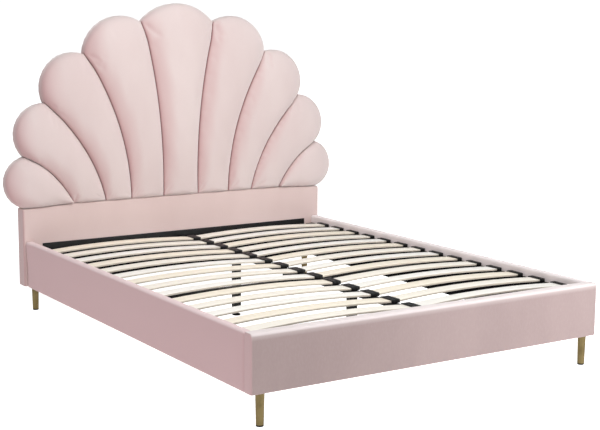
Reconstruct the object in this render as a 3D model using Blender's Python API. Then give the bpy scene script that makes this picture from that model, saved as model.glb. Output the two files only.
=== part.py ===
"""Upholstered bed frame with a scalloped channel headboard and a sprung slat base.

Units are metres and +Z is up.  +X points to the right for someone standing at the
foot and +Y points towards the headboard.  The origin is on the floor, in the middle
of the bed's box.  Distances along the bed are given from the foot rail's outer face
and turned into Y by from_foot().
"""
import math

import bmesh
import bpy
from mathutils import Vector

# ---------------------------------------------------------------- driving dimensions
GAP = 0.0003                # clearance left between pieces that touch
FRAME_WIDTH = 1.620         # over both side rails
FRAME_LENGTH = 2.055        # foot rail's outer face to the headboard's front face
HEADBOARD_WIDTH = 1.648     # over its straight lower sides
HEADBOARD_DEPTH = 0.070     # lower panel's front face to the back cloth
OVERALL_LENGTH = FRAME_LENGTH + HEADBOARD_DEPTH

RAIL_BOTTOM = 0.120         # also the height of the corner legs
RAIL_TOP = 0.336
SIDE_RAIL_THICKNESS = 0.032
FOOT_RAIL_THICKNESS = 0.050
RAIL_ROUNDING = 0.007       # soft rounding of the padded top edges
SIDE_BOARD_THICKNESS = 0.018
FOOT_BOARD_THICKNESS = 0.025
FLAP = 0.0022               # cloth turned over the inside and under the bottom edge
TOP_PADDING = 0.008
END_PADDING = 0.006

LEDGE_TOP = 0.2939          # battens and centre beam that carry the slat caps
LEDGE_HEIGHT = 0.027
LEDGE_WIDTH = 0.038

SLAT_ROWS = 14
SLAT_PITCH = 0.1347
LAST_ROW_FROM_FOOT = 0.137  # front edge of the slats nearest the foot
SLAT_WIDTH = 0.070
SLAT_THICKNESS = 0.008
SLAT_CAMBER = 0.013         # rise of the bow at mid span
SLAT_STEPS = 12

CAP_DEPTH = 0.024           # along the slat
CAP_WALL = 0.004
CAP_WEB = 0.003             # strip that joins the caps of one row of holders
CENTRE_CAP_WIDTH = 0.040
POCKET_PLAY = 0.0006

BEAM_WIDTH = 0.034
BEAM_HEIGHT = 0.018
CROSS_TUBE_WIDTH = 0.030
CROSS_TUBE_HEIGHT = 0.025
CROSS_TUBE_TOP = 0.2505     # a saddle fills the height up to the beam
CROSS_TUBE_FROM_FOOT = 1.045
HEAD_ANGLE_HALF_LENGTH = 0.733
HEAD_ANGLE_TOP = 0.323
HEAD_ANGLE_LEG = 0.035
STEEL_THICKNESS = 0.003

LEG_INSET = 0.050           # leg axis from the frame's side
LEG_FRONT_FROM_FOOT = 0.025
LEG_TOP_RADIUS = 0.0172
LEG_BOTTOM_RADIUS = 0.0140

CENTRE_LEG_PLACES = {"head": 1.502, "foot": 0.564}
CENTRE_LEG_WIDTH = 0.034
CENTRE_LEG_CLEARANCE = 0.020     # underside of the leg above the floor
STUD_RADIUS = 0.0050
STUD_BORE_RADIUS = 0.0054
STUD_TOP = 0.055
STUD_BORE_TOP = 0.070
GLIDE_RADIUS = 0.020
GLIDE_HEIGHT = 0.008

PANEL_TOP = 0.500           # lower headboard panel, below the channels
PANEL_SHOULDER = 0.4875     # its top at the sides, under the outermost channels
CHANNEL_FOOT = 0.502        # level line where the channels start
CHANNEL_EDGE_DEPTH = 0.040  # channel edges, forward of the headboard's board
CHANNEL_CROWN = 0.025       # how far a channel's middle stands forward of its edges
BOARD_SETBACK = 0.0305      # board's front face behind the lower panel's front face
BACK_CLOTH = 0.0015
SEAM_GAP = 0.002
SCALLOP_INSET = 0.018       # board and back cloth stay this far inside the scallops
CHANNEL_STEPS_ACROSS = 8
CHANNEL_STEPS_ALONG = 12

# Seams right of the middle, from the innermost out: where each starts on the level
# line, the control point that bends it, and the notch where it meets the scallops.
SEAMS = (
    (0.096, (0.085, 0.950), (0.197, 1.351)),
    (0.270, (0.275, 0.864), (0.496, 1.202)),
    (0.405, (0.460, 0.756), (0.698, 0.978)),
    (0.572, (0.662, 0.670), (0.804, 0.730)),
)
SCALLOP_RISE = (0.091, 0.095, 0.100, 0.090, 0.090)   # from the middle scallop out
SCALLOP_END = (0.815, CHANNEL_FOOT)                  # where the last scallop ends


# ------------------------------------------------------------------------- materials
def make_material(name, colour, roughness, metallic=0.0):
    """A plain Principled material."""
    material = bpy.data.materials.new(name)
    material.use_nodes = True
    shader = material.node_tree.nodes["Principled BSDF"]
    shader.inputs["Base Color"].default_value = (*colour, 1.0)
    shader.inputs["Roughness"].default_value = roughness
    shader.inputs["Metallic"].default_value = metallic
    material.diffuse_color = (*colour, 1.0)
    return material


def make_finishes():
    """All the finishes of the bed, by name."""
    return {
        "velvet": make_material("blush_velvet", (0.68, 0.50, 0.49), 0.85),
        "board": make_material("plywood", (0.62, 0.47, 0.30), 0.70),
        "slat": make_material("birch_slat", (0.86, 0.80, 0.67), 0.55),
        "steel": make_material("black_steel", (0.018, 0.018, 0.018), 0.45, 0.6),
        "plastic": make_material("black_plastic", (0.015, 0.015, 0.015), 0.50),
        "brass": make_material("antique_brass", (0.36, 0.28, 0.14), 0.38, 0.9),
        "lining": make_material("black_lining", (0.020, 0.020, 0.022), 0.95),
    }


# --------------------------------------------------------------------------- helpers
def from_foot(distance):
    """Y of a place given by its distance from the foot rail's outer face."""
    return distance - OVERALL_LENGTH / 2


def add_object(name, mesh_builder, material, smooth=False):
    """Turn a bmesh into a named object with one material, its normals facing out."""
    bmesh.ops.recalc_face_normals(mesh_builder, faces=mesh_builder.faces)
    mesh = bpy.data.meshes.new(name)
    mesh_builder.to_mesh(mesh)
    mesh_builder.free()
    mesh.materials.append(material)
    if smooth:
        mesh.shade_smooth()
        mesh.set_sharp_from_angle(angle=math.radians(35))
    obj = bpy.data.objects.new(name, mesh)
    bpy.context.collection.objects.link(obj)
    return obj


def add_box_to(mesh_builder, low, high):
    """Add a closed box between two corners to a bmesh."""
    centre = (Vector(low) + Vector(high)) / 2
    size = Vector(high) - Vector(low)
    made = bmesh.ops.create_cube(mesh_builder, size=1.0)
    bmesh.ops.scale(mesh_builder, vec=size, verts=made["verts"])
    bmesh.ops.translate(mesh_builder, vec=centre, verts=made["verts"])


def make_box(name, low, high, material):
    """A box between two corners."""
    mesh_builder = bmesh.new()
    add_box_to(mesh_builder, low, high)
    return add_object(name, mesh_builder, material)


def make_prism(name, outline, start, end, axis, material):
    """Extrude a closed outline of world-space points along one axis.

    The outline holds (first, second) pairs: (y, z) for a prism along X and (x, z) for
    a prism along Y.
    """
    mesh_builder = bmesh.new()
    if axis == "X":
        points = [(start, a, b) for a, b in outline]
        step = Vector((end - start, 0, 0))
    else:
        points = [(a, start, b) for a, b in outline]
        step = Vector((0, end - start, 0))
    face = mesh_builder.faces.new([mesh_builder.verts.new(p) for p in points])
    moved = bmesh.ops.extrude_face_region(mesh_builder, geom=[face])["geom"]
    verts = [item for item in moved if isinstance(item, bmesh.types.BMVert)]
    bmesh.ops.translate(mesh_builder, vec=step, verts=verts)
    return add_object(name, mesh_builder, material)


def add_bevel(obj, width, segments):
    """Round every sharp edge of an object."""
    bevel = obj.modifiers.new("Rounding", "BEVEL")
    bevel.width = width
    bevel.segments = segments
    bevel.limit_method = "ANGLE"
    bevel.angle_limit = math.radians(40)


def cut(obj, cutter):
    """Subtract a hidden cutter from an object."""
    cutter.hide_render = True
    cutter.display_type = "WIRE"
    boolean = obj.modifiers.new("Cut " + cutter.name, "BOOLEAN")
    boolean.operation = "DIFFERENCE"
    boolean.solver = "EXACT"
    boolean.object = cutter


def mirrored(points):
    """An outline of (x, z) pairs mirrored in X, kept in the same turning sense."""
    return [(-x, z) for x, z in reversed(points)]


# ------------------------------------------------------------------ headboard outline
def seam_curve(side, index, t):
    """Point (x, z) of a seam: a quadratic curve from the level line to its notch."""
    foot_x, control, notch = SEAMS[index]
    ends = ((foot_x, CHANNEL_FOOT), control, notch)
    weights = ((1 - t) ** 2, 2 * t * (1 - t), t * t)
    x = sum(w * p[0] for w, p in zip(weights, ends))
    z = sum(w * p[1] for w, p in zip(weights, ends))
    return Vector((side * x, z))


def level_line(side, t):
    """Point (x, z) of the level line under an outermost channel."""
    start = Vector((side * SEAMS[-1][0], CHANNEL_FOOT))
    end = Vector((side * SCALLOP_END[0], SCALLOP_END[1]))
    return start.lerp(end, t)


def channel_sides(number):
    """The two side curves of channel 1 to 9, left one first, and its scallop's rise."""
    place = number - 5
    ring = abs(place)
    side = 1 if place > 0 else -1
    rise = SCALLOP_RISE[ring]
    if ring == 0:
        return (lambda t: seam_curve(-1, 0, t)), (lambda t: seam_curve(1, 0, t)), rise
    inner = lambda t: seam_curve(side, ring - 1, t)
    outer = (lambda t: seam_curve(side, ring, t)) if ring < 4 else (lambda t: level_line(side, t))
    return (inner, outer, rise) if side > 0 else (outer, inner, rise)


def scallop_offset(left, right, rise, u):
    """How far a scallop's arc lies outside its chord, at the fraction u along it."""
    half_chord = (right - left).length / 2
    radius = (half_chord ** 2 + rise ** 2) / (2 * rise)
    half_angle = math.asin(half_chord / radius)
    angle = (2 * u - 1) * half_angle
    along = (right - left).normalized()
    outward = Vector((-along.y, along.x))
    height = radius * math.cos(angle) - (radius - rise)
    slide = radius * math.sin(angle) - (2 * u - 1) * half_chord
    return outward * height + along * slide


def channel_point(number, u, v, margin):
    """Point (x, z) of a channel: u runs across it and v from the level line to its tip.

    The point lies between the two side curves, pushed out towards the scallop's arc
    by the cube of v, so that the channel's foot is straight and its tip is round.
    """
    left_curve, right_curve, rise = channel_sides(number)
    left = left_curve(v)
    right = right_curve(v)
    inset = min(0.45, margin / max((right - left).length, 1e-6))
    shifted = inset + u * (1 - 2 * inset)
    offset = scallop_offset(left_curve(1.0), right_curve(1.0), rise, shifted)
    return left.lerp(right, shifted) + offset * v ** 3


def headboard_outline(inset, steps):
    """Scalloped outline with straight sides, drawn in from the padded edge by inset."""
    centre = Vector((0.0, CHANNEL_FOOT))
    points = []
    for number in range(1, 10):
        for step in range(steps):
            tip = channel_point(number, step / steps, 1.0, 0.0)
            points.append(tip + (centre - tip).normalized() * inset)
    side_x = HEADBOARD_WIDTH / 2 - inset / 2
    bottom = RAIL_BOTTOM + FLAP + GAP
    points = points[1:]
    return [(p.x, p.y) for p in points] + [(side_x, PANEL_SHOULDER), (side_x, bottom),
                                           (-side_x, bottom), (-side_x, PANEL_SHOULDER)]


# ------------------------------------------------------------------------- headboard
def build_headboard(finishes):
    """Scalloped board, its back cloth, nine channel pads and the plain lower panel."""
    board_front = from_foot(FRAME_LENGTH + BOARD_SETBACK)
    back = from_foot(OVERALL_LENGTH)
    cloth_front = back - BACK_CLOTH
    make_prism("headboard_board", headboard_outline(SCALLOP_INSET, 6),
               board_front, cloth_front - GAP, "Y", finishes["board"])
    make_prism("headboard_back_cloth", headboard_outline(SCALLOP_INSET / 2, 6),
               cloth_front, back, "Y", finishes["lining"])
    pad_back = board_front - GAP
    for number in range(1, 10):
        build_channel(number, pad_back, finishes["velvet"])
    half, knee = HEADBOARD_WIDTH / 2, SEAMS[-1][0]
    outline = [(-half, RAIL_BOTTOM), (half, RAIL_BOTTOM), (half, PANEL_SHOULDER),
               (knee, PANEL_TOP), (-knee, PANEL_TOP), (-half, PANEL_SHOULDER)]
    panel = make_prism("headboard_lower_panel", outline, from_foot(FRAME_LENGTH), pad_back,
                       "Y", finishes["velvet"])
    add_bevel(panel, 0.006, 2)


def build_channel(number, pad_back, material):
    """One padded channel: crowned in front, flat where it lies on the board."""
    across = CHANNEL_STEPS_ACROSS
    along = CHANNEL_STEPS_ALONG
    start = 0.07 if number in (1, 9) else 0.0
    mesh_builder = bmesh.new()
    front = []
    rear = []
    for j in range(along + 1):
        v = start + (1 - start) * j / along
        for i in range(across + 1):
            u = i / across
            point = channel_point(number, u, v, SEAM_GAP / 2)
            x = point.x
            z = max(point.y, CHANNEL_FOOT + SEAM_GAP / 2)
            ends = 1 - (2 * j / along - 1) ** 8
            crown = CHANNEL_CROWN * (1 - (2 * u - 1) ** 4) * ends
            y = pad_back - CHANNEL_EDGE_DEPTH - crown
            front.append(mesh_builder.verts.new((x, y, z)))
            rear.append(mesh_builder.verts.new((x, pad_back, z)))

    def quad(verts, a, b, c, d):
        mesh_builder.faces.new((verts[a], verts[b], verts[c], verts[d]))

    row = across + 1
    for j in range(along):
        for i in range(across):
            corner = j * row + i
            quad(front, corner, corner + 1, corner + 1 + row, corner + row)
            quad(rear, corner + row, corner + 1 + row, corner + 1, corner)
    rim = [i for i in range(across)]
    rim += [j * row + across for j in range(along)]
    rim += [along * row + i for i in range(across, 0, -1)]
    rim += [j * row for j in range(along, 0, -1)]
    for here, there in zip(rim, rim[1:] + rim[:1]):
        mesh_builder.faces.new((front[here], rear[here], rear[there], front[there]))
    add_object("channel_pad_%d" % number, mesh_builder, material, smooth=True)


# ----------------------------------------------------------------------------- rails
def rail_cover_outline(outer, inner, board_outer, board_inner, flap_bottom):
    """Wrap of padding and cloth round a rail board, as (across, z) pairs.

    It runs up the outside, over the top and a short way down the inside, and has a
    narrow lip under the board.
    """
    turn = 1 if outer > inner else -1
    soft = RAIL_ROUNDING * turn
    cut_back = RAIL_ROUNDING * 0.3 * turn
    return [
        (outer, RAIL_BOTTOM),
        (outer, RAIL_TOP - RAIL_ROUNDING),
        (outer - cut_back, RAIL_TOP - RAIL_ROUNDING * 0.3),
        (outer - soft, RAIL_TOP),
        (inner + soft, RAIL_TOP),
        (inner + cut_back, RAIL_TOP - RAIL_ROUNDING * 0.3),
        (inner, RAIL_TOP - RAIL_ROUNDING),
        (inner, flap_bottom),
        (board_inner - GAP * turn, flap_bottom),
        (board_inner - GAP * turn, RAIL_TOP - TOP_PADDING + GAP),
        (board_outer + GAP * turn, RAIL_TOP - TOP_PADDING + GAP),
        (board_outer + GAP * turn, RAIL_BOTTOM + FLAP),
        (board_inner, RAIL_BOTTOM + FLAP),
        (board_inner, RAIL_BOTTOM),
    ]


def side_positions():
    """Distances from the middle of a side rail's faces: outer, board and inner."""
    outer = FRAME_WIDTH / 2
    inner = outer - SIDE_RAIL_THICKNESS
    board_inner = inner + FLAP + GAP
    return outer, board_inner + SIDE_BOARD_THICKNESS, board_inner, inner


def build_side_rails(finishes):
    """Two side rails: a board with a slat batten on its inside, and its padded cover."""
    outer, board_outer, board_inner, inner = side_positions()
    start = from_foot(FOOT_RAIL_THICKNESS + GAP)
    end = from_foot(FRAME_LENGTH - GAP)
    low = RAIL_BOTTOM + FLAP + GAP
    high = RAIL_TOP - TOP_PADDING
    ledge_low = LEDGE_TOP - LEDGE_HEIGHT
    ledge_inner = board_inner - LEDGE_WIDTH
    board = [(board_outer, low), (board_outer, high), (board_inner, high),
             (board_inner, LEDGE_TOP), (ledge_inner, LEDGE_TOP),
             (ledge_inner, ledge_low), (board_inner, ledge_low), (board_inner, low)]
    cover = rail_cover_outline(outer, inner, board_outer, board_inner, LEDGE_TOP + 0.003)
    for side, turn in (("right", list), ("left", mirrored)):
        make_prism("side_rail_board_" + side, turn(board), start, end, "Y",
                   finishes["board"])
        make_prism("side_rail_cover_" + side, turn(cover), start, end, "Y",
                   finishes["velvet"])


def build_foot_rail(finishes):
    """Foot rail over the full width, its cover closed round both ends."""
    half = FRAME_WIDTH / 2
    board_front = from_foot(FOOT_RAIL_THICKNESS - FLAP - GAP - FOOT_BOARD_THICKNESS)
    board_back = from_foot(FOOT_RAIL_THICKNESS - FLAP - GAP)
    low = RAIL_BOTTOM + FLAP + GAP
    high = RAIL_TOP - TOP_PADDING
    make_box("foot_rail_board", (-half + END_PADDING + GAP, board_front, low),
             (half - END_PADDING - GAP, board_back, high), finishes["board"])
    cover = make_box("foot_rail_cover", (-half, from_foot(0), RAIL_BOTTOM),
                     (half, from_foot(FOOT_RAIL_THICKNESS), RAIL_TOP), finishes["velvet"])
    add_bevel(cover, RAIL_ROUNDING, 3)
    pocket = make_box("foot_rail_pocket",
                      (-half + END_PADDING, board_front - GAP, RAIL_BOTTOM + FLAP),
                      (half - END_PADDING, board_back + GAP, high + GAP),
                      finishes["velvet"])
    window = make_box("foot_rail_window",
                      (-half + 0.060, board_back - 0.001, RAIL_BOTTOM + 0.012),
                      (half - 0.060, from_foot(FOOT_RAIL_THICKNESS) + 0.010,
                       RAIL_TOP - 0.045), finishes["velvet"])
    cut(cover, pocket)
    cut(cover, window)


# ------------------------------------------------------------------------ steel frame
def build_steel(finishes):
    """Head angle, cross tube and centre beam."""
    steel = finishes["steel"]
    front = from_foot(FRAME_LENGTH - GAP)
    beam_low = LEDGE_TOP - BEAM_HEIGHT
    shelf_high = beam_low - GAP
    shelf_low = shelf_high - STEEL_THICKNESS
    angle = [(front, HEAD_ANGLE_TOP), (front, shelf_low),
             (front - HEAD_ANGLE_LEG, shelf_low),
             (front - HEAD_ANGLE_LEG, shelf_high),
             (front - STEEL_THICKNESS, shelf_high),
             (front - STEEL_THICKNESS, HEAD_ANGLE_TOP)]
    make_prism("head_cross_rail", angle, -HEAD_ANGLE_HALF_LENGTH,
               HEAD_ANGLE_HALF_LENGTH, "X", steel)
    beam_start = from_foot(FOOT_RAIL_THICKNESS + GAP)
    beam_end = front - STEEL_THICKNESS - GAP
    make_box("centre_beam", (-BEAM_WIDTH / 2, beam_start, beam_low),
             (BEAM_WIDTH / 2, beam_end, LEDGE_TOP), steel)
    reach = side_positions()[2] - GAP
    middle = from_foot(CROSS_TUBE_FROM_FOOT)
    low, half = CROSS_TUBE_TOP - CROSS_TUBE_HEIGHT, BEAM_WIDTH / 2
    tube = [(-reach, low), (reach, low), (reach, CROSS_TUBE_TOP), (half, CROSS_TUBE_TOP),
            (half, shelf_high), (-half, shelf_high), (-half, CROSS_TUBE_TOP),
            (-reach, CROSS_TUBE_TOP)]
    make_prism("mid_cross_rail", tube, middle - CROSS_TUBE_WIDTH / 2,
               middle + CROSS_TUBE_WIDTH / 2, "Y", steel)


# ------------------------------------------------------------------ slats and holders
def row_front(row):
    """Y of the front edge of a slat row; row 1 is next to the headboard."""
    return from_foot(LAST_ROW_FROM_FOOT + (SLAT_ROWS - row) * SLAT_PITCH)


def slat_ends():
    """Distances from the middle where a slat starts and ends, inside its caps."""
    return CAP_WALL / 2 + POCKET_PLAY, side_positions()[3] - GAP - CAP_WALL - POCKET_PLAY


def build_cap_strip(name, low_x, high_x, pockets, material):
    """A row of slat caps on a thin strip.

    Each pocket is a (start, end) range in X that is cut from the cap for a slat's end.
    """
    strip_low = LEDGE_TOP + GAP
    cap_low = strip_low + CAP_WEB
    play = POCKET_PLAY
    cap_high = cap_low + SLAT_THICKNESS + 2 * play + CAP_WALL
    mesh_builder = bmesh.new()
    add_box_to(mesh_builder,
               (low_x, row_front(SLAT_ROWS) - CAP_WALL - play, strip_low),
               (high_x, row_front(1) + SLAT_WIDTH + CAP_WALL + play, cap_low))
    strip = add_object(name, mesh_builder, material)
    cap_builder = bmesh.new()
    hole_builder = bmesh.new()
    for row in range(1, SLAT_ROWS + 1):
        front = row_front(row)
        add_box_to(cap_builder, (low_x, front - CAP_WALL - play, strip_low + 0.001),
                   (high_x, front + SLAT_WIDTH + CAP_WALL + play, cap_high))
        for start, end in pockets:
            add_box_to(hole_builder, (start, front - play, cap_low),
                       (end, front + SLAT_WIDTH + play, cap_high - CAP_WALL))
    caps = add_object(name + "_blocks", cap_builder, material)
    holes = add_object(name + "_pockets", hole_builder, material)
    caps.hide_render = True
    caps.display_type = "WIRE"
    join = strip.modifiers.new("Join caps", "BOOLEAN")
    join.operation = "UNION"
    join.solver = "EXACT"
    join.object = caps
    cut(strip, holes)


def build_holders(finishes):
    """Three strips of slat caps: one on each side batten and a double one midway."""
    plastic = finishes["plastic"]
    slat_start, slat_end = slat_ends()
    inner = side_positions()[3] - GAP
    low = inner - CAP_DEPTH
    reach = slat_end + POCKET_PLAY
    half = CENTRE_CAP_WIDTH / 2
    build_cap_strip("slat_caps_right", low, inner, [(low - 0.01, reach)], plastic)
    build_cap_strip("slat_caps_left", -inner, -low, [(-reach, -low + 0.01)], plastic)
    near = slat_start - POCKET_PLAY
    build_cap_strip("slat_caps_centre", -half, half,
                    [(near, half + 0.01), (-half - 0.01, -near)], plastic)


def slat_profile():
    """Outline (x, z) of a right-hand slat, flat in its caps and bowed between them."""
    start, end = slat_ends()
    bow_start = CENTRE_CAP_WIDTH / 2
    bow_end = side_positions()[3] - GAP - CAP_DEPTH
    underside = LEDGE_TOP + GAP + CAP_WEB + POCKET_PLAY
    lower = [(start, underside)]
    for step in range(SLAT_STEPS + 1):
        share = step / SLAT_STEPS
        x = bow_start + (bow_end - bow_start) * share
        lower.append((x, underside + SLAT_CAMBER * 4 * share * (1 - share)))
    lower.append((end, underside))
    upper = [(x, z + SLAT_THICKNESS) for x, z in reversed(lower)]
    return lower + upper


def build_slats(finishes):
    """Fourteen rows of two bowed slats."""
    profile = slat_profile()
    for row in range(1, SLAT_ROWS + 1):
        front = row_front(row)
        for side, turn in (("left", mirrored), ("right", list)):
            make_prism("slat_%s_%02d" % (side, row), turn(profile), front,
                       front + SLAT_WIDTH, "Y", finishes["slat"])


# ------------------------------------------------------------------------------ legs
def build_corner_legs(finishes):
    """Four tapered round legs under the foot rail and the headboard."""
    x = FRAME_WIDTH / 2 - LEG_INSET
    back = FRAME_LENGTH + HEADBOARD_DEPTH / 2
    height = RAIL_BOTTOM - GAP
    for end, distance in (("front", LEG_FRONT_FROM_FOOT), ("back", back)):
        for side, sign in (("left", -1), ("right", 1)):
            mesh_builder = bmesh.new()
            bmesh.ops.create_cone(mesh_builder, cap_ends=True, segments=24,
                                  radius1=LEG_BOTTOM_RADIUS, radius2=LEG_TOP_RADIUS,
                                  depth=height)
            leg = add_object("leg_%s_%s" % (end, side), mesh_builder,
                             finishes["brass"], smooth=True)
            leg.location = (sign * x, from_foot(distance), height / 2)


def build_centre_legs(finishes):
    """Two square legs under the centre beam, each with a levelling glide."""
    half = CENTRE_LEG_WIDTH / 2
    top = LEDGE_TOP - BEAM_HEIGHT - GAP
    for place, distance in CENTRE_LEG_PLACES.items():
        y = from_foot(distance)
        leg = make_box("centre_leg_" + place, (-half, y - half, CENTRE_LEG_CLEARANCE),
                       (half, y + half, top), finishes["steel"])
        bore_builder = bmesh.new()
        bmesh.ops.create_cone(bore_builder, cap_ends=True, segments=24,
                              radius1=STUD_BORE_RADIUS, radius2=STUD_BORE_RADIUS,
                              depth=STUD_BORE_TOP)
        bore = add_object("centre_leg_bore_" + place, bore_builder, finishes["steel"])
        bore.location = (0, y, STUD_BORE_TOP / 2)
        cut(leg, bore)
        build_glide("levelling_glide_" + place, y, finishes["plastic"])


def build_glide(name, y, material):
    """A screw glide: a turned profile with a broad foot and a stud, on its own axis."""
    profile = [(0, 0), (GLIDE_RADIUS - 0.0015, 0), (GLIDE_RADIUS, 0.0015),
               (GLIDE_RADIUS, GLIDE_HEIGHT - 0.002),
               (GLIDE_RADIUS - 0.004, GLIDE_HEIGHT),
               (STUD_RADIUS, GLIDE_HEIGHT), (STUD_RADIUS, STUD_TOP), (0, STUD_TOP)]
    mesh_builder = bmesh.new()
    verts = [mesh_builder.verts.new((x, 0, z)) for x, z in profile]
    edges = [mesh_builder.edges.new(pair) for pair in zip(verts, verts[1:])]
    bmesh.ops.spin(mesh_builder, geom=verts + edges, cent=(0, 0, 0), axis=(0, 0, 1),
                   angle=math.tau, steps=24, use_merge=True, use_duplicate=False)
    bmesh.ops.remove_doubles(mesh_builder, verts=mesh_builder.verts, dist=1e-5)
    glide = add_object(name, mesh_builder, material, smooth=True)
    glide.location = (0, y, 0)


# ------------------------------------------------------------------------------ build
def clear_scene():
    """Remove whatever the scene starts with."""
    for obj in list(bpy.data.objects):
        bpy.data.objects.remove(obj, do_unlink=True)


def build_bed():
    """Build every piece of the bed."""
    clear_scene()
    finishes = make_finishes()
    build_headboard(finishes)
    build_side_rails(finishes)
    build_foot_rail(finishes)
    build_steel(finishes)
    build_holders(finishes)
    build_slats(finishes)
    build_corner_legs(finishes)
    build_centre_legs(finishes)


build_bed()
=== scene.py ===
"""Looks of the upholstered bed, built round its fixed CAD frame.

The frame gives every place. This script adds the finished surfaces: padded velvet
channels and rails, bowed birch slats in their black caps, steel tubes, tapered brass
legs, linings and fixings. Units are metres, +Z is up and +Y points to the headboard.
"""
import logging
import math
from dataclasses import dataclass, replace
from enum import Enum
from functools import cache

import bpy
import numpy as np
from mathutils import Matrix, Vector


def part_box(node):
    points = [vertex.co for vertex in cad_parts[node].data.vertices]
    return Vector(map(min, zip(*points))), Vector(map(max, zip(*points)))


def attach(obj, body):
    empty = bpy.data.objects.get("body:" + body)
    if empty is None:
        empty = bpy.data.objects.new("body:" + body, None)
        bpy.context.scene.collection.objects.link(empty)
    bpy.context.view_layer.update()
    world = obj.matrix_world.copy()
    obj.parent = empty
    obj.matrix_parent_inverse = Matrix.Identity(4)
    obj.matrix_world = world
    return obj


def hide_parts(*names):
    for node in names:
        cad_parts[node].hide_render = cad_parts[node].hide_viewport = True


LOG = logging.getLogger("bed")
Array = np.ndarray
CLEAR = 0.0004          # gap kept between pieces that touch
FRAME_BODY = "bed_frame"
COLOUR_A, COLOUR_B, COLOUR_RESULT = 6, 7, 2     # a mix node's sockets for colours


class Side(Enum):
    """Which side of the bed's middle plane a piece is on, seen from the foot."""

    LEFT = -1
    RIGHT = 1


# ------------------------------------------------------------------------ mesh tools
def smooth_step(value: Array) -> Array:
    """Ease from 0 to 1: three times the square less twice the cube, clipped first.

    Args:
        value: Any array.

    Returns:
        The eased values, from 0 to 1.
    """
    t = np.clip(value, 0.0, 1.0)
    return t * t * (3 - 2 * t)


def waves(place: Array, lengths: tuple[float, ...], seed: float) -> Array:
    """Gentle repeatable unevenness: a sum of sines, each with its own phase.

    Args:
        place: Distance along the surface in metres.
        lengths: Wave lengths in metres.
        seed: Shifts the phases, so that no two pieces match.

    Returns:
        Values of about -1 to 1.
    """
    total = np.zeros_like(place)
    for order, length in enumerate(lengths):
        phase = seed * (1.7 + order) + 2.3 * order
        total += np.sin(2 * np.pi * place / length + phase)
    return total / len(lengths)


def even_spread(count: int, crowding: float) -> Array:
    """Fractions from 0 to 1 that crowd towards both ends.

    Each is a blend of the even fraction and half of one less its cosine over half a
    turn.

    Args:
        count: Number of fractions.
        crowding: 0 for even spacing, 1 for full cosine spacing.

    Returns:
        The fractions.
    """
    even = np.linspace(0.0, 1.0, count)
    return (1 - crowding) * even + crowding * (0.5 - 0.5 * np.cos(np.pi * even))


def grid_quads(rows: int, columns: int, wrap: bool = False) -> Array:
    """Corner numbers of the quads of a grid of points.

    Args:
        rows: Points along the first parameter.
        columns: Points along the second parameter.
        wrap: True if the second parameter closes on itself.

    Returns:
        One row of four point numbers for each quad.
    """
    i, j = np.meshgrid(np.arange(rows - 1), np.arange(columns if wrap else columns - 1),
                       indexing="ij")
    nxt = (j + 1) % columns
    quads = np.stack([i * columns + j, i * columns + nxt,
                      (i + 1) * columns + nxt, (i + 1) * columns + j], axis=-1)
    return quads.reshape(-1, 4)


def upright(plan: Array, depth: Array | float) -> Array:
    """Points in space from a plan's (x, z) points and their depths along Y."""
    return np.stack([plan[..., 0], np.broadcast_to(depth, plan.shape[:-1]), plan[..., 1]],
                    axis=-1)


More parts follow.
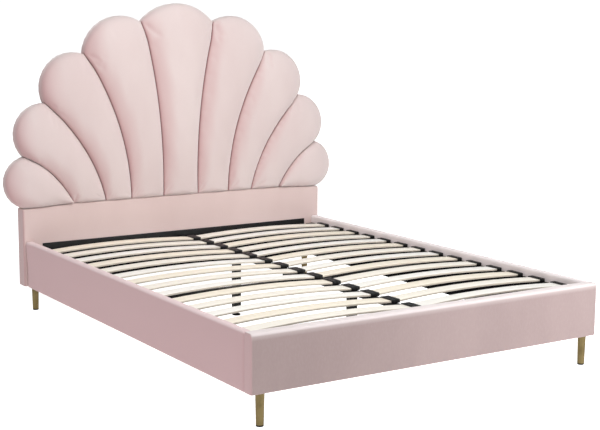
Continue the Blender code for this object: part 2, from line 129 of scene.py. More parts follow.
@dataclass
class Surface:
    """Points and faces of one closed shape, ready to be made a piece."""

    points: Array
    faces: list[Array]
    # On velvet a mark above nil is a painted highlight and one below nil the painted shade
    # beside a seam; on slats it brings in the edge tone, partly painted shade.
    marks: Array | None = None      # one value for each point, read by the material

    @classmethod
    def shell(cls, outer: Array, inner: Array) -> "Surface":
        """Close two grids of points into one solid along their four borders.

        Args:
            outer: Grid of points, rows by columns by 3.
            inner: Grid of the same shape, on the other side of the material.

        Returns:
            The closed surface.
        """
        rows, columns = outer.shape[:2]
        count = rows * columns
        front = grid_quads(rows, columns)
        back = front[:, ::-1] + count
        index = np.arange(count).reshape(rows, columns)
        rim = np.concatenate([index[0, :-1], index[:-1, -1],
                              index[-1, :0:-1], index[:0:-1, 0]])
        after = np.roll(rim, -1)
        band = np.stack([rim, rim + count, after + count, after], axis=-1)
        points = np.concatenate([outer.reshape(-1, 3), inner.reshape(-1, 3)])
        return cls(points, [np.concatenate([front, back, band])])

    @classmethod
    def tube(cls, rings: Array) -> "Surface":
        """Close a stack of rings into a solid, with a pole at each end.

        Args:
            rings: Rings by points by 3; each ring is a closed loop.

        Returns:
            The closed surface.
        """
        rows, columns = rings.shape[:2]
        count = rows * columns
        poles = np.stack([rings[0].mean(axis=0), rings[-1].mean(axis=0)])
        points = np.concatenate([rings.reshape(-1, 3), poles])
        j = np.arange(columns)
        after = (j + 1) % columns
        start = np.stack([np.full(columns, count), after, j], axis=-1)
        last = (rows - 1) * columns
        end = np.stack([np.full(columns, count + 1), last + j, last + after], axis=-1)
        return cls(points, [grid_quads(rows, columns, wrap=True), start, end])

    @classmethod
    def turned(cls, radii: Array, heights: Array, centre: Vector,
               segments: int = 48) -> "Surface":
        """Turn a profile about an upright axis: each radius swept through a full circle.

        Args:
            radii: Radius at each height.
            heights: Height of each profile point above the centre.
            centre: Place of the axis.
            segments: Points round the circle.

        Returns:
            The closed surface.
        """
        angle = np.linspace(0, 2 * np.pi, segments, endpoint=False)
        rings = np.stack([np.outer(radii, np.cos(angle)) + centre.x,
                          np.outer(radii, np.sin(angle)) + centre.y,
                          np.repeat(heights[:, None], segments, axis=1) + centre.z], axis=-1)
        return cls.tube(rings)

    def joined(self, *others: "Surface") -> "Surface":
        """Gather several closed shapes into one, side by side.

        Args:
            others: The shapes to add.

        Returns:
            One surface that holds them all.
        """
        points, marks = [self.points], [self.mark_values()]
        faces = list(self.faces)
        shift = len(self.points)
        for other in others:
            points.append(other.points)
            marks.append(other.mark_values())
            faces.extend(block + shift for block in other.faces)
            shift += len(other.points)
        return Surface(np.concatenate(points), faces, np.concatenate(marks))

    def mark_values(self) -> Array:
        """The marks, or zeros where none were set."""
        return np.zeros(len(self.points)) if self.marks is None else self.marks

    def marked(self, marks: Array) -> "Surface":
        """The same shape with a mark on each of its first points, and none on the rest.

        Args:
            marks: Values from -1 to 1.

        Returns:
            The marked surface.
        """
        values = np.zeros(len(self.points))
        values[:marks.size] = marks.ravel()
        return Surface(self.points, self.faces, values)

    def mirrored(self) -> "Surface":
        """The same shape on the other side of the middle plane, still facing out."""
        return Surface(self.points * np.array([-1.0, 1.0, 1.0]),
                       [block[:, ::-1] for block in self.faces], self.marks)

    def on(self, side: Side) -> "Surface":
        """A right-hand shape put on that side of the bed."""
        return self if side is Side.RIGHT else self.mirrored()

    def facing_out(self) -> "Surface":
        """Turn the faces round if the enclosed volume comes out negative.

        The volume is a sixth of the sum of each corner triangle's triple product.

        Returns:
            The surface with its faces pointing out.
        """
        volume = 0.0
        for block in self.faces:
            first = self.points[block[:, 0]]
            for k in range(1, block.shape[1] - 1):
                a, b = self.points[block[:, k]], self.points[block[:, k + 1]]
                volume += float(np.einsum("ij,ij->", first, np.cross(a, b)))
        if volume < 0:
            return Surface(self.points, [block[:, ::-1] for block in self.faces], self.marks)
        return self

    def piece(self, name: str, material: bpy.types.Material, slot: str,
              body: str = FRAME_BODY, sharp_angle: float = 40.0) -> bpy.types.Object:
        """Make the surface a piece that rides on a body.

        Args:
            name: The piece's name.
            material: Its finish.
            slot: Not used.
            body: The CAD body that it moves with.
            sharp_angle: Edges that turn by more than this many degrees stay sharp.

        Returns:
            The new object.
        """
        loops = np.concatenate([block.ravel() for block in self.faces]).astype(np.int32)
        sizes = np.concatenate([np.full(len(block), block.shape[1]) for block in self.faces])
        starts = (np.cumsum(sizes) - sizes).astype(np.int32)
        mesh = bpy.data.meshes.new(name)
        mesh.vertices.add(len(self.points))
        mesh.vertices.foreach_set("co", self.points.astype(np.float32).ravel())
        mesh.loops.add(len(loops))
        mesh.loops.foreach_set("vertex_index", loops)
        mesh.polygons.add(len(sizes))
        mesh.polygons.foreach_set("loop_start", starts)
        mesh.update(calc_edges=True)
        mesh.validate()
        mesh.shade_smooth()
        mesh.set_sharp_from_angle(angle=math.radians(sharp_angle))
        mesh.materials.append(material)
        if self.marks is not None:
            mesh.attributes.new("mark", "FLOAT", "POINT").data.foreach_set(
                "value", self.marks.astype(np.float32))
        obj = bpy.data.objects.new(name, mesh)
        bpy.context.scene.collection.objects.link(obj)
        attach(obj, body)
        LOG.info("%s: %d faces", name, len(sizes))
        return obj


def rounded_path(corners: list[tuple[float, float]], radii: list[float],
                 straight: int = 6, arc: int = 5) -> Array:
    """A line through corners, with each inner corner replaced by an arc.

    Each arc touches both legs of its corner: its tangent length is the radius times
    the tangent of half the turning angle, and its points are a quadratic blend of the
    tangent points and the corner.

    Args:
        corners: The corner points.
        radii: Rounding of each inner corner, in metres.
        straight: Points along each straight leg.
        arc: Points along each arc.

    Returns:
        The points, one row each.
    """
    points = np.array(corners, dtype=float)
    parts = []
    leave = points[0]
    for k in range(1, len(points) - 1):
        before = points[k - 1] - points[k]
        after = points[k + 1] - points[k]
        before /= np.linalg.norm(before)
        after /= np.linalg.norm(after)
        turn = math.acos(float(np.clip(-(before @ after), -1, 1)))
        reach = radii[k - 1] * math.tan(turn / 2)
        enter = points[k] + before * reach
        t = np.linspace(0, 1, straight, endpoint=False)[:, None]
        parts.append(leave + (enter - leave) * t)
        t = np.linspace(0, 1, arc, endpoint=False)[:, None]
        exit_point = points[k] + after * reach
        parts.append(enter * (1 - t) ** 2 + points[k] * 2 * t * (1 - t) + exit_point * t ** 2)
        leave = exit_point
    t = np.linspace(0, 1, straight + 1)[:, None]
    parts.append(leave + (points[-1] - leave) * t)
    return np.concatenate(parts)


def rounded_loop(width: float, height: float, radius: float, arc: int = 5) -> Array:
    """A closed rectangle with round corners, centred on zero.

    Args:
        width: Size along the first axis.
        height: Size along the second axis.
        radius: Corner radius.
        arc: Steps round each corner.

    Returns:
        The loop's points, one row each, anticlockwise.
    """
    angle = np.linspace(0, np.pi / 2, arc + 1)
    quarter = np.stack([np.cos(angle), np.sin(angle)], axis=-1) * radius
    parts = []
    for k, (sx, sy) in enumerate(((1, 1), (-1, 1), (-1, -1), (1, -1))):
        spin = np.array([[math.cos(k * math.pi / 2), math.sin(k * math.pi / 2)],
                         [-math.sin(k * math.pi / 2), math.cos(k * math.pi / 2)]])
        centre = np.array([sx * (width / 2 - radius), sy * (height / 2 - radius)])
        parts.append(quarter @ spin + centre)
    return np.concatenate(parts)


class Axis(Enum):
    """The axis that a bar runs along."""

    X = 0
    Y = 1
    Z = 2


def bar(low: Vector, high: Vector, axis: Axis, radius: float, ends: float = 0.0008) -> Surface:
    """A rounded bar that fills a box: a rounded rectangle carried along one axis.

    The two end rings are drawn in by a small amount, so that the ends are eased.

    Args:
        low: Lowest corner of the box.
        high: Highest corner of the box.
        axis: The bar's long axis.
        radius: Rounding of its long edges.
        ends: Easing of its ends.

    Returns:
        The closed surface.
    """
    size = high - low
    centre = (low + high) / 2
    across = [k for k in range(3) if k != axis.value]
    loop = rounded_loop(size[across[0]], size[across[1]], radius)
    half = size[axis.value] / 2
    places = np.array([-half, -half + ends, half - ends, half])
    shrink = np.array([1 - 2 * ends / min(size[across[0]], size[across[1]]), 1.0])
    scale = shrink[[0, 1, 1, 0]]
    rings = np.zeros((len(places), len(loop), 3))
    rings[:, :, axis.value] = places[:, None]
    rings[:, :, across[0]] = loop[None, :, 0] * scale[:, None]
    rings[:, :, across[1]] = loop[None, :, 1] * scale[:, None]
    return Surface.tube(rings + np.array(centre)).facing_out()


# ---------------------------------------------------------------------- shader groups
class GroupBuilder:
    """Shader node groups that several finishes share, each built once."""

    def _new(self, name: str, inputs: dict[str, str]) -> bpy.types.ShaderNodeTree:
        """An empty group that puts out a colour, a roughness and a height.

        Args:
            name: The group's name.
            inputs: Each input's name, and its kind: Float, Color or Vector.

        Returns:
            The group.
        """
        tree = bpy.data.node_groups.new(name, "ShaderNodeTree")
        outputs = {"Color": "Color", "Roughness": "Float", "Height": "Float"}
        for way, sockets in (("INPUT", inputs), ("OUTPUT", outputs)):
            for socket, kind in sockets.items():
                tree.interface.new_socket(name=socket, in_out=way,
                                          socket_type="NodeSocket" + kind)
        return tree

    @cache
    def pile(self) -> bpy.types.ShaderNodeTree:
        """Velvet pile: broad brushed patches, fine fibres, painted light and painted shade.

        Inputs are the place, the tones, the mark, the facing share and two scales. A mark
        above nil blends in a painted highlight, and one below nil the painted shade beside
        a seam. The facing share is how far the surface turns a set way; it blends in the
        facing tone, which is painted shade in some finishes and painted light in others.
        Outputs are the colour, a roughness and a height.

        Returns:
            The group.
        """
        tree = self._new("Pile", {
            "Place": "Vector", "Low tone": "Color", "Main tone": "Color",
            "Speck and highlight tone": "Color", "Painted facing tone": "Color", "Seam shade tone": "Color",
            "Mark": "Float", "Facing": "Float", "Patch scale": "Float",
            "Fibre scale": "Float"})
        net = NodeNet(tree)
        inputs, outputs = net.ends()
        stretch = net.add("ShaderNodeMapping")
        stretch.inputs["Scale"].default_value = (1.0, 1.0, 0.45)
        net.link(inputs.outputs["Place"], stretch.inputs["Vector"])
        place = stretch.outputs["Vector"]
        patch = net.noise(place, inputs.outputs["Patch scale"], detail=3.0, roughness=0.55)
        fibre = net.noise(place, inputs.outputs["Fibre scale"], detail=2.0, roughness=0.6)
        speck = net.noise(place, 160.0, detail=2.0, roughness=0.5)
        soft = net.map_range(patch, 0.34, 0.66, 0.0, 1.0)
        tone = net.mix(soft, inputs.outputs["Low tone"], inputs.outputs["Main tone"])
        lift = net.map_range(speck, 0.40, 0.75, 0.0, 0.04)
        tone = net.mix(lift, tone, inputs.outputs["Speck and highlight tone"])
        depth = net.map_range(fibre, 0.35, 0.65, 0.0, 0.12)
        tone = net.mix(depth, tone, inputs.outputs["Low tone"])
        # Painted light and shade: faces turned the set way take the facing tone.
        tone = net.mix(inputs.outputs["Facing"], tone, inputs.outputs["Painted facing tone"])
        # Painted highlight where the mark is above nil.
        highlight_share = net.map_range(inputs.outputs["Mark"], 0.0, 1.0, 0.0, 1.0)
        tone = net.mix(highlight_share, tone, inputs.outputs["Speck and highlight tone"])
        # Painted shade beside the seams, where the mark is below nil.
        seam_shade_share = net.map_range(inputs.outputs["Mark"], -1.0, 0.0, 1.0, 0.0)
        tone = net.mix(seam_shade_share, tone, inputs.outputs["Seam shade tone"])
        net.link(tone, outputs.inputs["Color"])
        rough = net.map_range(patch, 0.3, 0.7, 0.92, 0.78)
        net.link(rough, outputs.inputs["Roughness"])
        net.link(fibre, outputs.inputs["Height"])
        return tree

    @cache
    def grain(self) -> bpy.types.ShaderNodeTree:
        """Wood grain along X: long streaks, pores and a slow change of tone.

        Inputs are the place, the light and dark tones, the streak strength, the edge
        tone and the mark that brings it in. The edge tone is partly the sawn edges' own
        darker tone and partly painted shade. Outputs are the colour, a roughness and a
        height.

        Returns:
            The group.
        """
        tree = self._new("Grain", {
            "Place": "Vector", "Light tone": "Color", "Dark tone": "Color",
            "Strength": "Float", "Edge tone and shade": "Color", "Mark": "Float"})
        net = NodeNet(tree)
        inputs, outputs = net.ends()
        stretch = net.add("ShaderNodeMapping")
        stretch.inputs["Scale"].default_value = (0.05, 1.0, 1.0)
        net.link(inputs.outputs["Place"], stretch.inputs["Vector"])
        place = stretch.outputs["Vector"]
        streak = net.noise(place, 95.0, detail=5.0, roughness=0.62)
        pore = net.noise(place, 620.0, detail=2.0, roughness=0.5)
        slow = net.noise(inputs.outputs["Place"], 3.2, detail=1.0, roughness=0.5)
        line = net.map_range(streak, 0.42, 0.68, 0.0, 1.0)
        share = net.maths("MULTIPLY", line, inputs.outputs["Strength"])
        tone = net.mix(share, inputs.outputs["Light tone"], inputs.outputs["Dark tone"])
        drift = net.map_range(slow, 0.35, 0.65, 0.0, 0.22)
        tone = net.mix(drift, tone, inputs.outputs["Dark tone"])
        tone = net.mix(inputs.outputs["Mark"], tone, inputs.outputs["Edge tone and shade"])
        net.link(tone, outputs.inputs["Color"])
        net.link(net.map_range(streak, 0.3, 0.7, 0.42, 0.60),
                 outputs.inputs["Roughness"])
        net.link(pore, outputs.inputs["Height"])
        return tree

    @cache
    def wear(self) -> bpy.types.ShaderNodeTree:
        """Faint scuffs and dust on hard pieces.

        Inputs are the place, the tone, the scuff tone and amount, and the roughness's
        two limits. Outputs are the colour, a roughness and a height.

        Returns:
            The group.
        """
        tree = self._new("Wear", {
            "Place": "Vector", "Tone": "Color", "Scuff tone": "Color",
            "Amount": "Float", "Low roughness": "Float", "High roughness": "Float"})
        net = NodeNet(tree)
        inputs, outputs = net.ends()
        cloud = net.noise(inputs.outputs["Place"], 18.0, detail=4.0, roughness=0.6)
        fine = net.noise(inputs.outputs["Place"], 420.0, detail=3.0, roughness=0.6)
        mask = net.map_range(cloud, 0.5, 0.72, 0.0, 1.0)
        share = net.maths("MULTIPLY", mask, inputs.outputs["Amount"])
        net.link(net.mix(share, inputs.outputs["Tone"], inputs.outputs["Scuff tone"]),
                 outputs.inputs["Color"])
        rough = net.map_range(cloud, 0.3, 0.7, inputs.outputs["Low roughness"],
                              inputs.outputs["High roughness"])
        net.link(rough, outputs.inputs["Roughness"])
        net.link(fine, outputs.inputs["Height"])
        return tree


class NodeNet:
    """Short calls for adding and joining nodes in one tree."""

    def __init__(self, tree: bpy.types.NodeTree) -> None:
        """Work in the given tree."""
        self.tree = tree

    def add(self, kind: str) -> bpy.types.Node:
        """A new node of that kind."""
        return self.tree.nodes.new(kind)

    def link(self, source: bpy.types.NodeSocket, target: bpy.types.NodeSocket) -> None:
        """Join an output to an input."""
        self.tree.links.new(source, target)

    def put(self, target: bpy.types.NodeSocket,
            value: bpy.types.NodeSocket | float) -> None:
        """Give an input a number, or join an output to it."""
        if isinstance(value, bpy.types.NodeSocket):
            self.link(value, target)
        else:
            target.default_value = value

    def ends(self) -> tuple[bpy.types.Node, bpy.types.Node]:
        """The group's own input and output nodes."""
        return self.add("NodeGroupInput"), self.add("NodeGroupOutput")

    def noise(self, place: bpy.types.NodeSocket, scale: bpy.types.NodeSocket | float,
              detail: float, roughness: float) -> bpy.types.NodeSocket:
        """A noise texture at a place.

        Args:
            place: Where it is read.
            scale: Noise cells for each metre, a number or a socket.
            detail: Octaves.
            roughness: Strength of the finer octaves.

        Returns:
            The noise's socket.
        """
        node = self.add("ShaderNodeTexNoise")
        self.link(place, node.inputs["Vector"])
        self.put(node.inputs["Scale"], scale)
        node.inputs["Detail"].default_value = detail
        node.inputs["Roughness"].default_value = roughness
        return node.outputs["Fac"]

    def map_range(self, value: bpy.types.NodeSocket, low: float, high: float,
                  to_low: bpy.types.NodeSocket | float,
                  to_high: bpy.types.NodeSocket | float) -> bpy.types.NodeSocket:
        """Map a value's range onto another, clipped at both ends.

        Args:
            value: The value.
            low: Value that gives to_low.
            high: Value that gives to_high.
            to_low: Result at low, a number or a socket.
            to_high: Result at high, a number or a socket.

        Returns:
            The result's socket.
        """
        node = self.add("ShaderNodeMapRange")
        self.link(value, node.inputs["Value"])
        for name, number in (("From Min", low), ("From Max", high),
                             ("To Min", to_low), ("To Max", to_high)):
            self.put(node.inputs[name], number)
        return node.outputs["Result"]

    def mix(self, share: bpy.types.NodeSocket, first: bpy.types.NodeSocket,
            second: bpy.types.NodeSocket) -> bpy.types.NodeSocket:
        """Blend two colours by a share.

        Args:
            share: 0 for the first colour, 1 for the second.
            first: First colour.
            second: Second colour.

        Returns:
            The blended colour's socket.
        """
        node = self.add("ShaderNodeMix")
        node.data_type = "RGBA"
        self.link(share, node.inputs["Factor"])
        self.link(first, node.inputs[COLOUR_A])
        self.link(second, node.inputs[COLOUR_B])
        return node.outputs[COLOUR_RESULT]

    def maths(self, operation: str, first: bpy.types.NodeSocket,
              second: bpy.types.NodeSocket | float) -> bpy.types.NodeSocket:
        """A maths node.

        Args:
            operation: Blender's name for it.
            first: First value.
            second: Second value, a socket or a number.

        Returns:
            The result's socket.
        """
        node = self.add("ShaderNodeMath")
        node.operation = operation
        self.link(first, node.inputs[0])
        self.put(node.inputs[1], second)
        return node.outputs[0]


GROUPS = GroupBuilder()
Tone = tuple[float, float, float]


def rgba(tone: Tone) -> tuple[float, float, float, float]:
    """A tone with full alpha."""
    return (*tone, 1.0)


@dataclass(frozen=True)
class Finish:
    """What every finish has: a name and the values that are the same all over."""

    name: str
    metallic: float = 0.0
    sheen: float = 0.0
    sheen_roughness: float = 0.4
    sheen_tone: Tone = (1.0, 1.0, 1.0)
    specular: float = 0.5
    bump_strength: float = 0.3
    bump_distance: float = 0.0004

    def start(self) -> tuple[bpy.types.Material, NodeNet, bpy.types.Node,
                             bpy.types.NodeSocket]:
        """Make the material and set the values that don't change over the surface.

        Returns:
            The material, its nodes, its Principled shader and the object's place.
        """
        material = bpy.data.materials.new(self.name)
        material.use_nodes = True
        net = NodeNet(material.node_tree)
        shader = material.node_tree.nodes["Principled BSDF"]
        shader.inputs["Metallic"].default_value = self.metallic
        shader.inputs["Sheen Weight"].default_value = self.sheen
        shader.inputs["Sheen Roughness"].default_value = self.sheen_roughness
        shader.inputs["Sheen Tint"].default_value = rgba(self.sheen_tone)
        shader.inputs["Specular IOR Level"].default_value = self.specular
        place = net.add("ShaderNodeTexCoord").outputs["Object"]
        return material, net, shader, place

    def dress(self, net: NodeNet, shader: bpy.types.Node, group: bpy.types.Node) -> None:
        """Join a group's colour, roughness and height to the shader.

        Args:
            net: The material's nodes.
            shader: Its Principled shader.
            group: The group node.
        """
        net.link(group.outputs["Color"], shader.inputs["Base Color"])
        net.link(group.outputs["Roughness"], shader.inputs["Roughness"])
        bump = net.add("ShaderNodeBump")
        bump.inputs["Strength"].default_value = self.bump_strength
        bump.inputs["Distance"].default_value = self.bump_distance
        net.link(group.outputs["Height"], bump.inputs["Height"])
        net.link(bump.outputs["Normal"], shader.inputs["Normal"])

    def read_mark(self, net: NodeNet, group: bpy.types.Node) -> None:
        """Join the piece's own marks to the group.

        Args:
            net: The material's nodes.
            group: The group node.
        """
        attribute = net.add("ShaderNodeAttribute")
        attribute.attribute_name = "mark"
        net.link(attribute.outputs["Fac"], group.inputs["Mark"])

    def place_group(self, net: NodeNet, tree: bpy.types.ShaderNodeTree,
                    place: bpy.types.NodeSocket,
                    values: dict[str, float | Tone]) -> bpy.types.Node:
        """Put a shared group into the material with this finish's own values.

        Args:
            net: The material's nodes.
            tree: The group.
            place: The object's place.
            values: Input name to value.

        Returns:
            The group node.
        """
        node = net.add("ShaderNodeGroup")
        node.node_tree = tree
        net.link(place, node.inputs["Place"])
        for name, value in values.items():
            node.inputs[name].default_value = (
                rgba(value) if isinstance(value, tuple) else value)
        return node


@dataclass(frozen=True)
class Velvet(Finish):
    """Short-pile velvet: soft patches where the pile lies another way, a sheen, and
    painted light and shade from the marks and the facing.
    """

    sheen: float = 0.9
    sheen_roughness: float = 0.5
    sheen_tone: Tone = (1.0, 0.97, 0.96)
    specular: float = 0.12
    bump_strength: float = 0.12
    low: Tone = (0.620, 0.506, 0.494)
    main: Tone = (0.660, 0.556, 0.542)
    # The high tone is also the painted highlight on marked top edges.
    high: Tone = (0.760, 0.680, 0.668)
    # Faces turned left and down take the facing tone: painted shade here, painted light in the
    # lighter copies.
    painted_facing_tone: Tone = (0.560, 0.350, 0.352)
    # Painted shade beside the seams.
    seam_shade: Tone = (0.26, 0.11, 0.105)
    painted_facing: tuple[float, float, float] = (-0.94, 0.0, -0.34)
    painted_facing_range: tuple[float, float] = (0.10, 0.80)   # where the facing starts and is full
    patch_scale: float = 3.2
    fibre_scale: float = 1400.0

    def build(self) -> bpy.types.Material:
        """Make the velvet.

        Returns:
            The new material.
        """
        material, net, shader, place = self.start()
        group = self.place_group(net, GROUPS.pile(), place, {
            "Low tone": self.low, "Main tone": self.main, "Speck and highlight tone": self.high,
            "Painted facing tone": self.painted_facing_tone, "Seam shade tone": self.seam_shade,
            "Patch scale": self.patch_scale, "Fibre scale": self.fibre_scale})
        self.read_mark(net, group)
        # Painted light and shade: how far each face turns left and down.
        facing_dot = net.add("ShaderNodeVectorMath")
        facing_dot.operation = "DOT_PRODUCT"
        facing_dot.inputs[1].default_value = self.painted_facing
        net.link(net.add("ShaderNodeTexCoord").outputs["Normal"], facing_dot.inputs[0])
        net.link(net.map_range(facing_dot.outputs["Value"], *self.painted_facing_range, 0.0, 1.0),
                 group.inputs["Facing"])
        self.dress(net, shader, group)
        return material


@dataclass(frozen=True)
class Timber(Finish):
    """Wood with its grain along X."""

    light: Tone = (0.940, 0.905, 0.825)
    dark: Tone = (0.875, 0.800, 0.670)
    # Edge tone: partly the sawn edges' own darker tone, partly painted shade on faces the
    # light misses.
    edge: Tone = (0.52, 0.46, 0.38)
    strength: float = 0.4

    def build(self) -> bpy.types.Material:
        """Make the wood.

        Returns:
            The new material.
        """
        material, net, shader, place = self.start()
        group = self.place_group(net, GROUPS.grain(), place, {
            "Light tone": self.light, "Dark tone": self.dark, "Strength": self.strength,
            "Edge tone and shade": self.edge})
        self.read_mark(net, group)
        self.dress(net, shader, group)
        return material


@dataclass(frozen=True)
class Hard(Finish):
    """Metal, plastic or dark cloth with faint scuffs."""

    tone: Tone = (0.02, 0.02, 0.02)
    scuff: Tone = (0.08, 0.08, 0.08)
    amount: float = 0.3
    low_roughness: float = 0.35
    high_roughness: float = 0.55

    def build(self) -> bpy.types.Material:
        """Make the metal, plastic or cloth.

        Returns:
            The new material.
        """
        material, net, shader, place = self.start()
        group = self.place_group(net, GROUPS.wear(), place, {
            "Tone": self.tone, "Scuff tone": self.scuff, "Amount": self.amount,
            "Low roughness": self.low_roughness, "High roughness": self.high_roughness})
        self.dress(net, shader, group)
        return material


class Finishes:
    """Every finish of the bed, built once."""

    def __init__(self) -> None:
        """Build the materials."""
        self.velvet_head = Velvet("blush_velvet").build()
        side = Velvet("blush_velvet_side", sheen=0.35, low=(0.640, 0.430, 0.440),
                      main=(0.690, 0.462, 0.474), high=(0.820, 0.655, 0.660),
                      painted_facing_tone=(0.690, 0.462, 0.474))
        self.velvet_side = side.build()
        # Lighter copy for the right rail: painted light on its inner face, and its high tone
        # is the painted highlight on the top edge.
        self.velvet_pale = replace(side, name="blush_velvet_pale", sheen=0.6,
                                   high=(0.930, 0.870, 0.875),
                                   painted_facing_tone=(0.930, 0.830, 0.820)).build()
        self.velvet_panel = Velvet("blush_velvet_panel", low=(0.610, 0.465, 0.445),
                                   main=(0.650, 0.508, 0.486)).build()
        # Darker copy for the foot rail: painted shade on its face; its facing tone is painted
        # light on the left end, and its high tone the painted highlight on the top edge.
        self.velvet_foot = Velvet("blush_velvet_foot", sheen=0.45, low=(0.385, 0.290, 0.284),
                                  main=(0.428, 0.325, 0.318), high=(0.850, 0.770, 0.765),
                                  painted_facing_tone=(0.660, 0.440, 0.450)).build()
        slat = Timber("birch_slat", specular=0.4, bump_strength=0.15, bump_distance=0.0002)
        self.slats = [slat.build(),
                      replace(slat, name="birch_slat_warm", light=(0.930, 0.865, 0.740),
                              dark=(0.850, 0.750, 0.590)).build(),
                      replace(slat, name="birch_slat_pale", light=(0.950, 0.935, 0.890),
                              dark=(0.900, 0.860, 0.770), strength=0.3).build()]
        self.board = Timber("raw_plywood", light=(0.66, 0.52, 0.34),
                            dark=(0.42, 0.29, 0.16), strength=0.8,
                            bump_strength=0.3).build()
        self.steel = Hard("black_powder_coat", metallic=0.2, specular=0.3,
                          tone=(0.006, 0.006, 0.006), scuff=(0.022, 0.022, 0.022),
                          bump_strength=0.2, bump_distance=0.0002).build()
        self.plastic = Hard("black_moulded_plastic", specular=0.3,
                            tone=(0.005, 0.005, 0.005), scuff=(0.018, 0.018, 0.018),
                            low_roughness=0.38, high_roughness=0.5,
                            bump_strength=0.15, bump_distance=0.0002).build()
        self.brass = Hard("antique_brass", metallic=1.0,
                          tone=(0.24, 0.185, 0.085), scuff=(0.15, 0.11, 0.05), amount=0.7,
                          low_roughness=0.28, high_roughness=0.42,
                          bump_strength=0.1, bump_distance=0.0001).build()
        self.lining = Hard("black_dust_cloth",
                           tone=(0.005, 0.005, 0.006), scuff=(0.014, 0.014, 0.015),
                           amount=0.6, low_roughness=0.9, high_roughness=1.0,
                           specular=0.05, bump_strength=0.6, bump_distance=0.0005).build()
        self.zinc = Hard("zinc_fixings", metallic=1.0,
                         tone=(0.45, 0.45, 0.44), scuff=(0.3, 0.3, 0.29),
                         bump_strength=0.1).build()


# --------------------------------------------------------------------- places of the bed
@dataclass(frozen=True)
class Places:
    """The bed's main places, read from the CAD frame."""

    rail_bottom: float
    rail_top: float
    head_y: float
    back_y: float
    board_front: float
    level_line: float
    panel_half: float

    @classmethod
    def read(cls) -> "Places":
        """Read the places from the frame's nodes.

        Returns:
            The places.
        """
        foot_low, foot_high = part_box("foot_rail_cover")
        panel_low, panel_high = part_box("headboard_lower_panel")
        board_low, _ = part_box("headboard_board")
        _, cloth_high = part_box("headboard_back_cloth")
        middle_low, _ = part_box("channel_pad_5")
        return cls(foot_low.z, foot_high.z, panel_low.y, cloth_high.y, board_low.y,
                   middle_low.z, panel_high.x)


@dataclass
class Part:
    """A sub-assembly, which knows the bed's places and finishes."""

    places: Places
    finishes: Finishes


# ----------------------------------------------------------------------- cloth filling
@dataclass(frozen=True)
class ClothFill:
    """Swells a padded piece with simulated cloth, with its fixed points pinned."""

    pressure: float = 4.5
    frames: int = 20
    reach: float = 0.006            # cap on how far a point moves
    quality: int = 6
    mass: float = 0.35              # of each point, in kilograms
    stretch: float = 12.0
    shear: float = 6.0
    bending: float = 0.4

    def settle(self, piece: bpy.types.Object, pinned: Array) -> None:
        """Run the cloth, cap how far each point moved, and keep the result.

        A point's move is shortened to the reach by the hyperbolic tangent of its
        length, so that the cap leaves no kink.

        Args:
            piece: The padded piece.
            pinned: True for each point that is sewn down.
        """
        mesh = piece.data
        before = np.empty(len(mesh.vertices) * 3, np.float32)
        mesh.vertices.foreach_get("co", before)
        before = before.reshape(-1, 3)
        group = piece.vertex_groups.new(name="sewn")
        group.add(np.flatnonzero(pinned).tolist(), 1.0, "REPLACE")
        modifier = piece.modifiers.new("Filling", "CLOTH")
        cloth = modifier.settings
        cloth.quality = self.quality
        cloth.mass = self.mass
        cloth.tension_stiffness = self.stretch
        cloth.compression_stiffness = self.stretch
        cloth.shear_stiffness = self.shear
        cloth.bending_stiffness = self.bending
        cloth.use_pressure = True
        cloth.uniform_pressure_force = self.pressure
        cloth.vertex_group_mass = group.name
        cloth.effector_weights.gravity = 0.0
        modifier.collision_settings.use_collision = False
        modifier.point_cache.frame_start = 1
        modifier.point_cache.frame_end = self.frames
        scene = bpy.context.scene
        for frame in range(1, self.frames + 1):
            scene.frame_set(frame)
        evaluated = piece.evaluated_get(bpy.context.evaluated_depsgraph_get())
        after = np.empty(len(mesh.vertices) * 3, np.float32)
        evaluated.data.vertices.foreach_get("co", after)
        move = after.reshape(-1, 3) - before
        length = np.linalg.norm(move, axis=1, keepdims=True)
        scale = self.reach * np.tanh(length / self.reach) / np.maximum(length, 1e-9)
        piece.modifiers.remove(modifier)
        piece.vertex_groups.remove(group)
        scene.frame_set(1)
        mesh.vertices.foreach_set("co", (before + move * scale).ravel())
        mesh.update()
        LOG.info("%s swelled by up to %.1f mm", piece.name, 1000 * float(length.max()))


